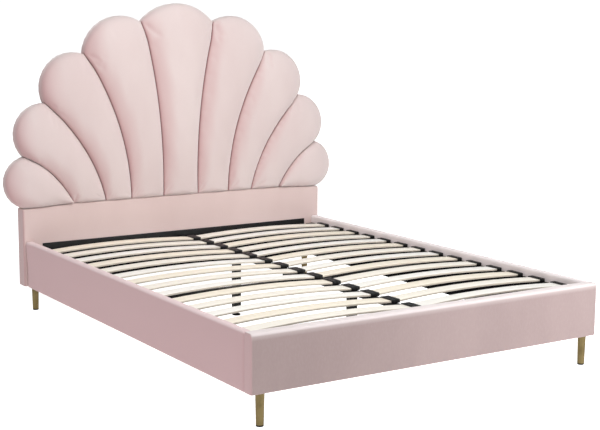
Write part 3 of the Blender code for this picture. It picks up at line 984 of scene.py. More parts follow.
# ------------------------------------------------------------------------- headboard
@dataclass
class ChannelFan(Part):
    """The nine padded channels that fan out from the level line."""

    # Seams right of the middle, from the innermost out: start on the level line, the
    # control point that bends it, and the notch where it meets the scallops.
    seams: tuple[tuple[float, tuple[float, float], tuple[float, float]], ...] = (
        (0.096, (0.085, 0.950), (0.197, 1.351)),
        (0.270, (0.275, 0.864), (0.496, 1.202)),
        (0.405, (0.460, 0.756), (0.698, 0.978)),
        (0.572, (0.662, 0.670), (0.804, 0.730)),
    )
    rises: tuple[float, ...] = (0.091, 0.095, 0.100, 0.090, 0.090)
    end_x: float = 0.815
    droop: float = 0.012            # how far the outermost channels' ends hang down
    across: int = 41
    along: int = 96
    seam_gap: float = 0.0006
    crest: float = 0.037            # crown in front of the lower panel's face
    valley: float = 0.0005          # seams in front of the lower panel's face
    rim_back: float = 0.020         # widest place of the tip, behind that face
    tip_rounding: float = 0.110
    foot_rounding: float = 0.026
    foot_crown: float = 0.60        # share of the crown left at the level line
    foot_rise: float = 0.26         # the crown is full from here up
    roundness: float = 2.3          # 2 is a round section, and more is flatter
    wall: float = 0.014             # padding over the board's edge
    # Painted shade beside the seams: its strength, its width and its share round the tip.
    seam_shade_strength: float = 1.0         # how far the painted seam shade goes to full
    seam_shade_width: float = 0.0050
    wall_shade: float = 0.3         # share of the painted seam shade left round the tip
    side_crowding: float = 0.55     # how much the points crowd at a channel's sides
    end_crowding: float = 0.5
    fill: ClothFill = ClothFill()

    def seam(self, index: int, t: Array) -> Array:
        """Points (x, z) of a right-hand seam: a quadratic curve to its notch.

        Args:
            index: 0 for the innermost seam.
            t: Fractions along it.

        Returns:
            The points.
        """
        foot_x, control, notch = self.seams[index]
        ends = np.array([(foot_x, self.places.level_line), control, notch])
        weights = np.stack([(1 - t) ** 2, 2 * t * (1 - t), t * t], axis=-1)
        return weights @ ends

    def sides(self, ring: int, t: Array) -> tuple[Array, Array]:
        """The two side curves of a right-hand or middle channel, left one first.

        Args:
            ring: 0 for the middle channel, 4 for the outermost.
            t: Fractions along them.

        Returns:
            Their points.
        """
        if ring == 0:
            right = self.seam(0, t)
            return right * np.array([-1.0, 1.0]), right
        if ring < 4:
            return self.seam(ring - 1, t), self.seam(ring, t)
        start = np.array([self.seams[3][0], self.places.level_line])
        end = np.array([self.end_x, self.places.level_line - self.droop])
        return self.seam(3, t), start + (end - start) * t[..., None]

    def plan(self, ring: int, u: Array, v: Array) -> Array:
        """Points (x, z) of a channel seen from the front.

        A point lies between the two side curves. It is pushed out by the scallop's
        arc less its chord, times the cube of v, so the tip is round and the foot is
        straight.

        Args:
            ring: 0 for the middle channel, 4 for the outermost.
            u: Fractions across the channel.
            v: Fractions along it, from the level line to the tip.

        Returns:
            The points.
        """
        left, right = self.sides(ring, v)
        span = np.linalg.norm(right - left, axis=-1)
        inset = np.minimum(0.45, self.seam_gap / np.maximum(span, 1e-6))
        share = inset + u * (1 - 2 * inset)
        tip_left, tip_right = self.sides(ring, np.array(1.0))
        chord = tip_right - tip_left
        half = float(np.linalg.norm(chord)) / 2
        rise = self.rises[ring]
        radius = (half ** 2 + rise ** 2) / (2 * rise)
        angle = (2 * share - 1) * math.asin(half / radius)
        along = chord / (2 * half)
        outward = np.array([-along[1], along[0]])
        height = radius * np.cos(angle) - (radius - rise)
        slide = radius * np.sin(angle) - (2 * share - 1) * half
        offset = height[..., None] * outward + slide[..., None] * along
        flat = left + (right - left) * share[..., None]
        return flat + offset * (v ** 3)[..., None]

    def relief(self, ring: int, u: Array, v: Array, length: float) -> Array:
        """How far the padding stands out, as a share of its full crown.

        It is the product of three quarter rounds, across the channel, over its tip
        and at its foot. Each is the root of one less a power of the distance. Near
        the foot the crown is lower, and eases up to its full height.

        Args:
            ring: 0 for the middle channel, 4 for the outermost.
            u: Fractions across.
            v: Fractions along.
            length: The channel's length in metres.

        Returns:
            Shares from 0 to 1.
        """
        side = np.abs(2 * u - 1) ** self.roundness
        tip_start = 1 - self.tip_rounding / length
        tip = np.clip((v - tip_start) / (1 - tip_start), 0, 1) ** self.roundness
        foot = np.clip(1 - v * length / self.foot_rounding, 0, 1) ** 2.0
        if ring == 4:
            foot = foot * 0
        filled = smooth_step(v * length / self.foot_rise)
        full = self.foot_crown + (1 - self.foot_crown) * filled
        return full * np.sqrt((1 - side) * (1 - tip) * (1 - foot))

    def grids(self, ring: int, seed: float) -> tuple[Array, Array]:
        """Front and back grids of a channel's padding.

        The front grid runs from the level line over the crown to the tip, and on
        round the board's edge. The back grid lies on the board and then steps back to
        the cloth behind it.

        Args:
            ring: 0 for the middle channel, 4 for the outermost.
            seed: Shifts the small puckers.

        Returns:
            The two grids.
        """
        p = self.places
        start = 0.03 if ring == 4 else 0.0
        u_line = even_spread(self.across, self.side_crowding)
        v_line = start + (1 - start) * even_spread(self.along, self.end_crowding)
        v, u = np.meshgrid(v_line, u_line, indexing="ij")
        middle = self.plan(ring, np.full(200, 0.5), np.linspace(start, 1, 200))
        length = float(np.linalg.norm(np.diff(middle, axis=0), axis=1).sum())
        xz = self.plan(ring, u, v)
        lift = self.relief(ring, u, v, length)
        tip_start = 1 - self.tip_rounding / length
        to_rim = smooth_step((v - tip_start) / (1 - tip_start))
        base = p.head_y - self.valley + (self.valley + self.rim_back) * to_rim
        crest = p.head_y - self.crest
        y = base + (crest - base) * lift
        y += self.puckers(u, v, length, seed) * (lift > 0)
        front = upright(xz, y)
        wall_y, wall_in = self.wall_line()
        tip = xz[-1]
        centre = np.array([0.0, p.level_line])
        inward = centre - tip
        inward /= np.linalg.norm(inward, axis=-1, keepdims=True)
        gather = 0.0008 * np.sin(2 * np.pi * u_line * 2 * self.rises[ring] / 0.018 + seed)
        rows = []
        for depth, inset in zip(wall_y, wall_in):
            rows.append(upright(tip + inward * (inset + gather[:, None] * (inset > 0)), depth))
        front = np.concatenate([front, np.stack(rows)])
        keep = 1 - self.wall / length
        xz_back = self.plan(ring, u, start + (v - start) * (keep - start) / (1 - start))
        back = upright(xz_back, p.board_front - CLEAR)
        inner_edge = xz_back[-1]
        last = tip + inward * wall_in[-1]
        lip = [upright(inner_edge + (last - inner_edge) * share, wall_y[-1])
               for share in np.linspace(0, 0.8, len(wall_y))]
        return front, np.concatenate([back, np.stack(lip)])

    def wall_line(self) -> tuple[Array, Array]:
        """Depths and insets of the cloth as it turns round the tip to the back.

        Returns:
            The depths along Y, and the moves towards the fan's centre.
        """
        p = self.places
        rim = p.head_y + self.rim_back
        end = p.back_y - 0.0018
        depth = np.array([rim + 0.008, rim + 0.018, end - 0.014, end - 0.007, end - 0.002,
                          end])
        inset = np.array([0.0, 0.0002, 0.0012, 0.0040, 0.0090, 0.0130])
        return depth, inset

    def puckers(self, u: Array, v: Array, length: float, seed: float) -> Array:
        """Small gathers beside the seams and slow waves over the crown.

        The gathers are a sine along the seam that dies out away from it.

        Args:
            u: Fractions across.
            v: Fractions along.
            length: The channel's length in metres.
            seed: Shifts the waves.

        Returns:
            Moves along Y in metres.
        """
        run = v * length
        near = np.exp(-((1 - np.abs(2 * u - 1)) / 0.16) ** 2)
        gathers = waves(run + 0.02 * np.sign(u - 0.5), (0.031, 0.047, 0.083), seed)
        slow = waves(run + 0.4 * u, (0.21, 0.37), seed + 1.0)
        return 0.0011 * near * gathers + 0.0012 * (1 - near) * slow

    def build(self) -> None:
        """Make the nine channels."""
        for ring in range(5):
            front, back = self.grids(ring, 0.7 * ring)
            # The marks are the painted shade beside the seams.
            surface = Surface.shell(front, back).marked(self.seam_shade_marks(front))
            pinned = self.sewn(front.shape[0], front.shape[1])
            for side in (Side.LEFT, Side.RIGHT):
                number = 5 + side.value * ring
                if side is Side.RIGHT or ring:
                    self.add(number, surface.on(side), pinned)

    def seam_shade_marks(self, front: Array) -> Array:
        """Painted shade: marks that darken a channel beside its two seams.

        The mark falls off as the bell curve of the distance to the nearer side.

        Args:
            front: The front grid.

        Returns:
            One mark for each of its points.
        """
        near = np.minimum(np.linalg.norm(front - front[:, :1], axis=-1),
                          np.linalg.norm(front - front[:, -1:], axis=-1))
        marks = -self.seam_shade_strength * np.exp(-(near / self.seam_shade_width) ** 2)
        marks[-len(self.wall_line()[0]):] *= self.wall_shade
        return marks

    def sewn(self, rows: int, columns: int) -> Array:
        """Which points are held while the cloth swells: all but the front's inside.

        Args:
            rows: Rows of the front grid.
            columns: Columns of the front grid.

        Returns:
            True for each held point, front grid first.
        """
        front = np.ones((rows, columns), bool)
        walls = len(self.wall_line()[0])
        front[1:rows - walls - 1, 1:-1] = False
        return np.concatenate([front.ravel(), np.ones(rows * columns, bool)])

    def add(self, number: int, shape: Surface, pinned: Array) -> None:
        """Make one channel a piece and swell it.

        Args:
            number: 1 to 9 from the left.
            shape: Its closed surface.
            pinned: Its sewn points.
        """
        name = "channel_%d" % number
        piece = shape.facing_out().piece(name, self.finishes.velvet_head, "blush_velvet",
                                         sharp_angle=60)
        self.fill.settle(piece, pinned)
        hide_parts("channel_pad_%d" % number)


@dataclass
class LowerPanel(Part):
    """The plain padded panel under the channels, wrapped round the board's sides."""

    rounding: float = 0.011
    side_wrap: float = 0.0085
    edge_rounding: float = 0.006
    crown: float = 0.0060
    crown_start: float = 0.340      # below this height the face is flat
    knee: float = 0.572             # beyond this the top slopes down
    slope: float = 0.0125

    def build(self) -> None:
        """Make the panel: one C-shaped plan outline carried up from rail to channels."""
        p = self.places
        low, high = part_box("headboard_lower_panel")
        back = p.back_y - 0.0018
        front = low.y
        half = p.panel_half
        inner_half = half - self.side_wrap
        outer = rounded_path([(-half, back), (-half, front), (half, front), (half, back)],
                             [self.rounding, self.rounding], straight=40, arc=8)
        inner = rounded_path([(-inner_half, back), (-inner_half, p.board_front - CLEAR),
                              (inner_half, p.board_front - CLEAR), (inner_half, back)],
                             [0.001, 0.001], straight=40, arc=8)
        heights = low.z + (high.z + 0.001 - low.z) * even_spread(40, 0.6)
        share = (heights - heights[0]) / (heights[-1] - heights[0])
        edge = np.minimum(heights - heights[0], heights[-1] - heights)
        ease = np.sqrt(1 - np.clip(1 - edge / self.edge_rounding, 0, 1) ** 2)
        outer_grid = np.zeros((len(heights), len(outer), 3))
        inner_grid = np.zeros_like(outer_grid)
        depth = np.where(share < 0.5, 0.85, 0.20)
        pull = ((1 - ease) * depth)[:, None, None]
        line = outer[None] + (inner - outer)[None] * pull
        outer_grid[..., :2] = line
        inner_grid[..., :2] = inner[None]
        x = outer_grid[..., 0]
        drop = self.slope * np.clip((np.abs(x) - self.knee) / (half - self.knee), 0, 1)
        outer_grid[..., 2] = heights[:, None] - drop * share[:, None]
        inner_grid[..., 2] = outer_grid[..., 2]
        face = smooth_step((half - np.abs(x)) / 0.05)
        rise = np.clip((heights - self.crown_start) / (heights[-1] - self.crown_start), 0, 1)
        bulge = smooth_step(rise / 0.6)[:, None] * face
        ripple = waves(x, (0.23, 0.41, 0.117), 0.4) * rise[:, None]
        outer_grid[..., 1] -= self.crown * bulge + 0.0007 * ripple * face
        piece = Surface.shell(outer_grid, inner_grid).facing_out().piece(
            "lower_panel", self.finishes.velvet_panel, "blush_velvet", sharp_angle=60)
        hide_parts("headboard_lower_panel")


@dataclass
class BackCloth(Part):
    """Thin dust cloth over the headboard's back, with a line of staples."""

    fan: ChannelFan
    inset: float = 0.012
    thickness: float = 0.0010

    def outline(self, inset: float, steps: int) -> Array:
        """Right half of the scalloped outline, from the middle down to the bottom.

        Args:
            inset: How far it lies inside the padded edge.
            steps: Points on each scallop.

        Returns:
            Points (x, z), from the top of the middle to the bottom corner.
        """
        p = self.places
        centre = np.array([0.0, p.level_line])
        parts = []
        for ring in range(5):
            start = 0.5 if ring == 0 else 0.0
            u = np.linspace(start, 1.0, steps, endpoint=False)
            tip = self.fan.plan(ring, u, np.ones_like(u))
            inward = centre - tip
            inward /= np.linalg.norm(inward, axis=-1, keepdims=True)
            parts.append(tip + inward * inset)
        side = p.panel_half - inset
        bottom = p.rail_bottom + 0.004
        run = np.linspace(p.level_line - 0.016, bottom, 24)
        parts.append(np.stack([np.full(24, side), run], axis=-1))
        return np.concatenate(parts)

    def build(self) -> None:
        """Make the cloth as rows that run across, and its staples."""
        p = self.places
        line = self.outline(self.inset, 26)
        spine = np.array([0.0, p.level_line * 0.8])
        shares = np.linspace(0.0, 1.0, 22)
        loop = np.concatenate([line, line[::-1] * np.array([-1.0, 1.0])])
        grid = spine + (loop - spine)[None] * (0.02 + 0.98 * shares)[:, None, None]
        sag = 0.0006 * np.sin(np.pi * shares)[:, None] * waves(grid[..., 0], (0.19, 0.31), 0.2)
        rings = np.concatenate([upright(grid, p.back_y - self.thickness),
                                upright(grid[::-1], p.back_y + sag[::-1])])
        piece = Surface.tube(rings).facing_out().piece(
            "back_dust_cloth", self.finishes.lining, "black_lining", sharp_angle=30)
        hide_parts("headboard_back_cloth")
        self.staples()

    def staples(self) -> None:
        """A ring of flat wire staples just inside the cloth's edge."""
        line = self.outline(self.inset + 0.012, 26)
        loop = np.concatenate([line, line[::-1] * np.array([-1.0, 1.0])])
        step = np.linalg.norm(np.diff(loop, axis=0), axis=1)
        run = np.concatenate([[0.0], np.cumsum(step)])
        count = int(run[-1] / 0.045)
        where = np.linspace(0.02, run[-1] - 0.02, count)
        x = np.interp(where, run, loop[:, 0])
        z = np.interp(where, run, loop[:, 1])
        ahead = np.stack([np.interp(where + 0.004, run, loop[:, 0]) - x,
                          np.interp(where + 0.004, run, loop[:, 1]) - z], axis=-1)
        ahead /= np.linalg.norm(ahead, axis=-1, keepdims=True)
        y = self.places.back_y + 0.0002
        low, high = Vector((-0.006, 0.0, -0.0006)), Vector((0.006, 0.0009, 0.0006))
        crown = bar(low, high, Axis.X, 0.0003, 0.0002)
        parts = []
        for k in range(count):
            turn = np.array([[ahead[k, 0], 0, ahead[k, 1]], [0, 1, 0],
                             [-ahead[k, 1], 0, ahead[k, 0]]])
            parts.append(Surface(crown.points @ turn + np.array([x[k], y, z[k]]), crown.faces))
        parts[0].joined(*parts[1:]).piece("back_cloth_staples", self.finishes.zinc,
                                          "black_steel")


# ----------------------------------------------------------------------------- rails
@dataclass
class PaddedRail(Part):
    """Velvet and foam wrapped round a rail's board."""

    edge: float = 0.012
    flap_bottom: float = 0.297
    lip: float = 0.0022             # velvet and foam under the board
    top_pad: float = 0.0078         # padding over the board
    flap: float = 0.0020            # velvet and foam on the inside
    end_pull: float = 0.0035        # how far the ends draw in
    end_rounding: float = 0.006
    flare: float = 0.006            # widening where a side rail meets the headboard
    highlight: float = 0.9          # painted highlight on the top edge

    def profile(self, outer: float, inner: float, board_outer: float,
                board_inner: float) -> tuple[Array, Array]:
        """Outer and inner lines (across, z) of the wrap, point for point.

        Args:
            outer: The padded face that shows.
            inner: The face towards the mattress.
            board_outer: The board's outer face.
            board_inner: The board's inner face.

        Returns:
            The two lines, from the lip under the board to the flap's end.
        """
        p = self.places
        low, top = p.rail_bottom, p.rail_top
        pad_top = top - self.top_pad
        lip_end = board_inner + math.copysign(0.015, outer - inner)
        skin = rounded_path([(lip_end, low), (outer, low), (outer, top), (inner, top),
                             (inner, self.flap_bottom)],
                            [0.006, self.edge, self.edge * 0.8], straight=14, arc=8)
        core = rounded_path([(lip_end, low + self.lip), (board_outer, low + self.lip),
                             (board_outer, pad_top), (board_inner, pad_top),
                             (board_inner, self.flap_bottom)],
                            [0.0005, 0.0005, 0.0005], straight=14, arc=8)
        return skin, core

    def soften(self, skin: Array, run: Array, length: float, outward: float,
               seed: float) -> Array:
        """Sideways move of the skin: a slight swell and slow waves in the foam.

        The move is largest half way up the outer face and is nil at the bottom edge
        and on the inside.

        Args:
            skin: The profile's outer line.
            run: Distance along the rail.
            length: The rail's length.
            outward: 1 if the outer face points to positive values, else -1.
            seed: Shifts the waves.

        Returns:
            Moves, rows along the rail and columns along the profile.
        """
        p = self.places
        rise = (skin[:, 1] - p.rail_bottom) / (p.rail_top - p.rail_bottom)
        reach = np.abs(skin[:, 0] - skin[:, 0].mean())
        outer_side = ((skin[:, 0] - skin[:, 0].mean()) * outward > 0) * (reach > 0.004)
        belly = np.sin(np.pi * np.clip(rise, 0, 1)) * outer_side
        ends = smooth_step(np.minimum(run, length - run) / 0.05)
        slow = waves(run, (0.83, 0.47, 0.31), seed)
        ripple = waves(run, (0.091, 0.143), seed + 2.0)
        amount = 0.0022 * ends + 0.0009 * slow * ends
        fine = 0.0003 * ripple[:, None] * (outer_side * smooth_step((rise - 0.7) / 0.3))[None]
        return outward * (amount[:, None] * belly[None] + fine)

    def side(self, side: Side) -> None:
        """Make one side rail's wrap.

        Args:
            side: Which side of the bed.
        """
        p = self.places
        word = side.name.lower()
        low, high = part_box("side_rail_cover_right")
        _, board_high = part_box("side_rail_board_right")
        outer, inner = high.x, low.x
        board_outer = board_high.x + CLEAR
        board_inner = inner + self.flap
        skin, core = self.profile(outer, inner, board_outer, board_inner)
        run = (high.y - low.y) * even_spread(140, 0.5)
        length = high.y - low.y
        near = np.clip(1 - np.minimum(run, length - run) / self.end_rounding, 0, 1)
        draw = self.end_pull * (1 - np.sqrt(1 - near ** 2))
        count = len(run)
        grid = np.zeros((count, len(skin), 3))
        grid[..., 0] = skin[None, :, 0] + self.soften(skin, run, length, 1.0, side.value * 0.6)
        grid[..., 1] = low.y + run[:, None]
        grid[..., 2] = skin[None, :, 1]
        middle = np.array([(outer + inner) / 2, (p.rail_bottom + p.rail_top) / 2])
        away = np.sign(skin - middle)
        grid[..., 0] -= draw[:, None] * away[None, :, 0] * (skin[None, :, 0] > board_outer)
        grid[..., 2] -= draw[:, None] * (skin[None, :, 1] > p.rail_top - 0.02)
        near_head = smooth_step((run - length + 0.10) / 0.10)[:, None]
        lifted = smooth_step((skin[:, 1] - 0.20) / 0.12) * (skin[:, 0] > board_outer)
        grid[..., 0] += self.flare * near_head * lifted
        inside = np.zeros_like(grid)
        inside[..., 0] = core[None, :, 0]
        inside[..., 1] = low.y + run[:, None]
        inside[..., 2] = core[None, :, 1]
        # Painted highlight along the top edge.
        light = smooth_step((grid[..., 2] - p.rail_top + self.edge) / (0.8 * self.edge))
        marks = self.highlight * light
        shape = Surface.shell(grid, inside).marked(marks).facing_out().on(side)
        # The right rail takes the lighter copy, with painted light on its inner face.
        finish = (self.finishes.velvet_side if side is Side.LEFT
                  else self.finishes.velvet_pale)
        piece = shape.piece("side_rail_wrap_" + word, finish, "blush_velvet",
                            sharp_angle=60)
        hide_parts("side_rail_cover_" + word)

    def section(self, outer: float, inner: float, low: float, top: float, rounding: float,
                closed: float, flap: float) -> Array:
        """The foot rail's section (y, z), which closes round its inner side at the ends.

        Args:
            outer: Face that shows.
            inner: Face towards the mattress.
            low: Underside.
            top: Top.
            rounding: Radius of the upper edges.
            closed: 0 for an open inner side, 1 for a closed one.
            flap: Where the inner flap ends when it is open.

        Returns:
            Points from the lower lip round the outside to the flap's end.
        """
        middle = (low + flap) / 2
        lip = low + 0.0008 + (middle - low - 0.0008) * closed
        end = flap + (middle - flap) * closed
        return rounded_path([(inner, lip), (inner, low), (outer, low), (outer, top),
                             (inner, top), (inner, end)],
                            [0.0004, rounding * 0.5, rounding, rounding * 0.8], straight=14,
                            arc=8)

    def foot(self) -> None:
        """Make the foot rail's wrap, closed over both ends.

        The section is carried along X. At each end it closes, then draws in towards
        its middle round the upright edge, and ends in the middle of the end panel.
        """
        low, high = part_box("foot_rail_cover")
        board_low, board_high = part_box("foot_rail_board")
        half, board_half = high.x, board_high.x + CLEAR
        radius = 0.008
        turn = np.linspace(0, np.pi / 2, 9)
        steps = [(-half, 1.0, 0.998, 0.0), (-half, 1.0, 0.8, 0.0), (-half, 1.0, 0.5, 0.0)]
        steps += [(-half + radius * (1 - math.cos(t)), 1.0, 0.0, radius * (1 - math.sin(t)))
                  for t in turn]
        inner_end = half - 0.045
        steps += [(x, 1.0, 0.0, 0.0) for x in np.linspace(-half + 0.016, -inner_end, 6)]
        steps += [(-inner_end + 0.0015 * k, 1 - k / 4, 0.0, 0.0) for k in (1, 2, 3, 4)]
        reach = inner_end - 0.008
        steps += [(x, 0.0, 0.0, 0.0) for x in np.linspace(-reach, reach, 150)]
        wide = len(steps) - 150
        steps += [(-x, closed, pull, draw) for x, closed, pull, draw in steps[:wide][::-1]]
        spine = (low.y + high.y) / 2
        middle_z = (low.z + high.z) / 2
        skin_rows, core_rows = [], []
        for x, closed, pull, draw in steps:
            skin = self.section(low.y, high.y, low.z, high.z, self.edge, closed,
                                self.flap_bottom)
            core = self.section(board_low.y - CLEAR, high.y - self.flap, low.z + self.lip,
                                high.z - self.top_pad, 0.0008, closed, self.flap_bottom)
            shrink = np.array([1 - draw / (high.y - spine),
                               1 - 0.3 * draw / (high.z - middle_z)])
            centre = np.array([spine, middle_z])
            line = centre + (skin - centre) * shrink
            line += (centre - line) * pull
            skin_rows.append(np.column_stack([np.full(len(line), x), line]))
            line = core.copy()
            if abs(x) > board_half:
                line += (centre - line) * pull
            spot = np.full(len(line), float(np.clip(x, -board_half, board_half)))
            core_rows.append(np.column_stack([spot, line]))
        grid, inside = np.stack(skin_rows), np.stack(core_rows)
        run = grid[:, 0, 0] + half
        skin = self.section(low.y, high.y, low.z, high.z, self.edge, 0.0, self.flap_bottom)
        grid[..., 1] += self.soften(skin, run, 2 * half, -1.0, 1.9)
        # Painted highlight along the top edge.
        light = smooth_step((grid[..., 2] - high.z + 1.4 * self.edge) / self.edge)
        light *= smooth_step((half - np.abs(grid[..., 0])) / 0.004)
        marks = self.highlight * light
        # The foot rail takes the darker copy, as painted shade.
        piece = Surface.shell(grid, inside).marked(marks).facing_out().piece(
            "foot_rail_wrap", self.finishes.velvet_foot, "blush_velvet", sharp_angle=60)
        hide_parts("foot_rail_cover")

    def build(self) -> None:
        """Make the three rails' wraps."""
        self.side(Side.LEFT)
        self.side(Side.RIGHT)
        self.foot()


@dataclass
class RailLining(Part):
    """Black cloth over the inside of each rail, from the flap down under the batten."""

    thickness: float = 0.0005
    hem: float = 0.012              # cloth turned under the board
    batten: float = 0.0277          # height of the batten and the cloth on it
    end_gap: float = 0.004          # bare board at each end

    def sheet(self, name: str, line: list[tuple[float, float]], start: float, end: float,
              along: Axis, rests_on: str, side: Side = Side.RIGHT) -> None:
        """One stretched sheet: a line of points carried along an axis.

        Args:
            name: The piece's name.
            line: Its (across, z) points on the board's side.
            start: Where it starts along the axis.
            end: Where it ends.
            along: The axis it runs along.
            rests_on: Not used.
            side: Which side of the bed it lies on, where it has one.
        """
        base = rounded_path(line, [0.0012] * (len(line) - 2), straight=5, arc=4)
        direction = np.gradient(base, axis=0)
        direction /= np.linalg.norm(direction, axis=1, keepdims=True)
        normal = np.stack([-direction[:, 1], direction[:, 0]], axis=-1)
        run = np.linspace(start, end, 60)
        across = 0 if along is Axis.Y else 1
        inner = np.zeros((len(run), len(base), 3))
        inner[..., along.value] = run[:, None]
        inner[..., across] = base[None, :, 0]
        inner[..., 2] = base[None, :, 1]
        outer = inner.copy()
        outer[..., across] += normal[None, :, 0] * self.thickness
        outer[..., 2] += normal[None, :, 1] * self.thickness
        shape = Surface.shell(outer, inner).facing_out().on(side)
        piece = shape.piece(name, self.finishes.lining, "black_lining", sharp_angle=50)

    def build(self) -> None:
        """Line the two side rails and the foot rail."""
        board_low, board_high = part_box("side_rail_board_right")
        cover_low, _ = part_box("side_rail_cover_right")
        face = cover_low.x + 0.0025 - 2 * CLEAR
        ledge_in = board_low.x - CLEAR
        caps_low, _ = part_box("slat_caps_right")
        ledge_top = caps_low.z
        ledge_low = ledge_top - self.batten
        bottom = board_low.z - 0.0012
        line = [(face + self.hem, bottom), (face, bottom), (face, ledge_low),
                (ledge_in, ledge_low), (ledge_in, ledge_top + 0.0001),
                (face, ledge_top + 0.0001)]
        for side in Side:
            word = side.name.lower()
            self.sheet("rail_lining_" + word, line, board_low.y + self.end_gap,
                       board_high.y - self.end_gap, Axis.Y, "side_rail_board_" + word, side)
        _, foot_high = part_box("foot_rail_board")
        face_y = foot_high.y + CLEAR
        half = cover_low.x - 0.002
        self.sheet("rail_lining_foot", [(face_y, ledge_top + 0.007), (face_y, bottom)],
                   -half, half, Axis.X, "foot_rail_board")
        head_y = self.places.head_y - CLEAR
        angle_low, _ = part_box("head_cross_rail")
        self.sheet("headboard_lining", [(head_y, bottom), (head_y, angle_low.z - 0.001)],
                   -half, half, Axis.X, "lower_panel")


# ------------------------------------------------------------------ slats and holders
@dataclass
class SlatBase(Part):
    """Bowed slats and the moulded caps that hold their ends."""

    rows: int = 14
    thickness: float = 0.008
    edge: float = 0.0032
    camber: float = 0.013
    side_hold: float = 0.0194       # length held in the side rail's cap
    centre_hold: float = 0.0174     # length held in the middle cap
    # The edge tone is partly the sawn edges' own darker tone and partly painted shade.
    flank_shade: float = 0.9        # how far the sawn edges take the edge tone
    cap_wall: float = 0.0040
    cap_margin: float = 0.0042      # cap past each edge of its slat

    def slat(self, side: Side, row: int) -> None:
        """One slat: a rounded section carried along a bowed line.

        The line is flat in the caps, and between them it rises by four times the
        camber times the share along it times the share left.

        Args:
            side: Which side of the bed.
            row: 1 at the headboard to 14 at the foot.
        """
        node = "slat_%s_%02d" % (side.name.lower(), row)
        low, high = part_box("slat_right_%02d" % row)
        width = high.y - low.y
        loop = rounded_loop(width, self.thickness, self.edge, arc=4)
        x = low.x + (high.x - low.x) * even_spread(46, 0.3)
        bow_start, bow_end = low.x + self.centre_hold, high.x - self.side_hold
        share = np.clip((x - bow_start) / (bow_end - bow_start), 0, 1)
        twist = 0.0006 * math.sin(row * 2.1 + side.value)
        middle_z = low.z + self.thickness / 2 + self.camber * 4 * share * (1 - share)
        rings = np.zeros((len(x), len(loop), 3))
        rings[..., 0] = x[:, None]
        rings[..., 1] = (low.y + high.y) / 2 + loop[None, :, 0]
        lean = twist * np.sin(np.pi * share)[:, None] * loop[None, :, 0] / (width / 2)
        rings[..., 2] = middle_z[:, None] + loop[None, :, 1] + lean
        # Sawn edges: partly their own darker tone, partly painted shade.
        flank = np.abs(loop[:, 0]) > width / 2 - 0.0015
        marks = np.tile(flank * self.flank_shade, len(x))
        shape = Surface.tube(rings).marked(marks).facing_out().on(side)
        piece = shape.piece("bowed_" + node, self.finishes.slats[(row * 5 + side.value) % 3],
                            "birch_slat", sharp_angle=50)
        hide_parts(node)

    def pocket(self, x_mouth: float, x_back: float, y_low: float, y_high: float,
               z_low: float, z_high: float) -> Surface:
        """A sleeve with one open mouth and a rounded outside.

        Its rings run from the mouth along the outside to the closed end, and its
        inner rings run back from there to the mouth, so it is one closed wall.

        Args:
            x_mouth: Place of the mouth.
            x_back: Place of the closed end.
            y_low: Low side of the sleeve.
            y_high: High side of the sleeve.
            z_low: Underside.
            z_high: Top.

        Returns:
            The closed surface.
        """
        way = 1 if x_back > x_mouth else -1
        width, height = y_high - y_low, z_high - z_low
        wall = self.cap_wall
        outer = rounded_loop(width, height, 0.0032, arc=4)
        slim = rounded_loop(width - 0.0012, height - 0.0012, 0.0027, arc=4)
        inner = rounded_loop(width - 2 * wall + 0.0008, height - wall - 0.0018, 0.0015, arc=4)
        rings = [(slim, x_mouth), (outer, x_mouth + way * 0.0008),
                 (outer, x_back - way * 0.0010), (slim, x_back)]
        lip = [(inner, x_back - way * wall), (inner, x_mouth)]
        centre = np.array([(y_low + y_high) / 2, (z_low + z_high) / 2])
        stack = []
        for loop, x in [lip[0], lip[1]] + rings:
            ring = np.zeros((len(loop), 3))
            ring[:, 0] = x
            ring[:, 1:] = loop + centre
            stack.append(ring)
        return Surface.tube(np.stack(stack)).facing_out()

    def cap(self, row: int, places: list[tuple[float, float]]) -> list[Surface]:
        """A holder: one sleeve for each pocket, each with two top ribs.

        Args:
            row: Slat row.
            places: Mouth and closed end in X of each pocket.

        Returns:
            The closed shapes that make it up.
        """
        slat_low, slat_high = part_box("slat_right_%02d" % row)
        strip_low, strip_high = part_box("slat_caps_right")
        y_low, y_high = slat_low.y - self.cap_margin, slat_high.y + self.cap_margin
        z_low, z_high = strip_low.z + 0.0008, strip_high.z
        shapes = []
        for mouth, back in places:
            shapes.append(self.pocket(mouth, back, y_low, y_high, z_low, z_high))
            inner, outer = min(mouth, back), max(mouth, back)
            for share in (0.3, 0.7):
                y = y_low + (y_high - y_low) * share
                shapes.append(bar(Vector((inner + 0.004, y - 0.0012, z_high - 0.0008)),
                                  Vector((outer - 0.003, y + 0.0012, z_high + 0.0009)),
                                  Axis.X, 0.0006))
        return shapes

    def holders(self) -> None:
        """Make the three lines of holders."""
        low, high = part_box("slat_caps_right")
        centre_low, centre_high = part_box("slat_caps_centre")
        lines = {"right": [(low.x, high.x)], "left": [(-low.x, -high.x)],
                 "centre": [(centre_high.x, 0.0004), (centre_low.x, -0.0004)]}
        for word, places in lines.items():
            shapes = []
            for row in range(1, self.rows + 1):
                shapes.extend(self.cap(row, places))
            piece = shapes[0].joined(*shapes[1:]).piece(
                "slat_holders_" + word, self.finishes.plastic, "black_plastic")
            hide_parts("slat_caps_" + word)

    def build(self) -> None:
        """Make every slat and holder."""
        for row in range(1, self.rows + 1):
            for side in Side:
                self.slat(side, row)
        self.holders()


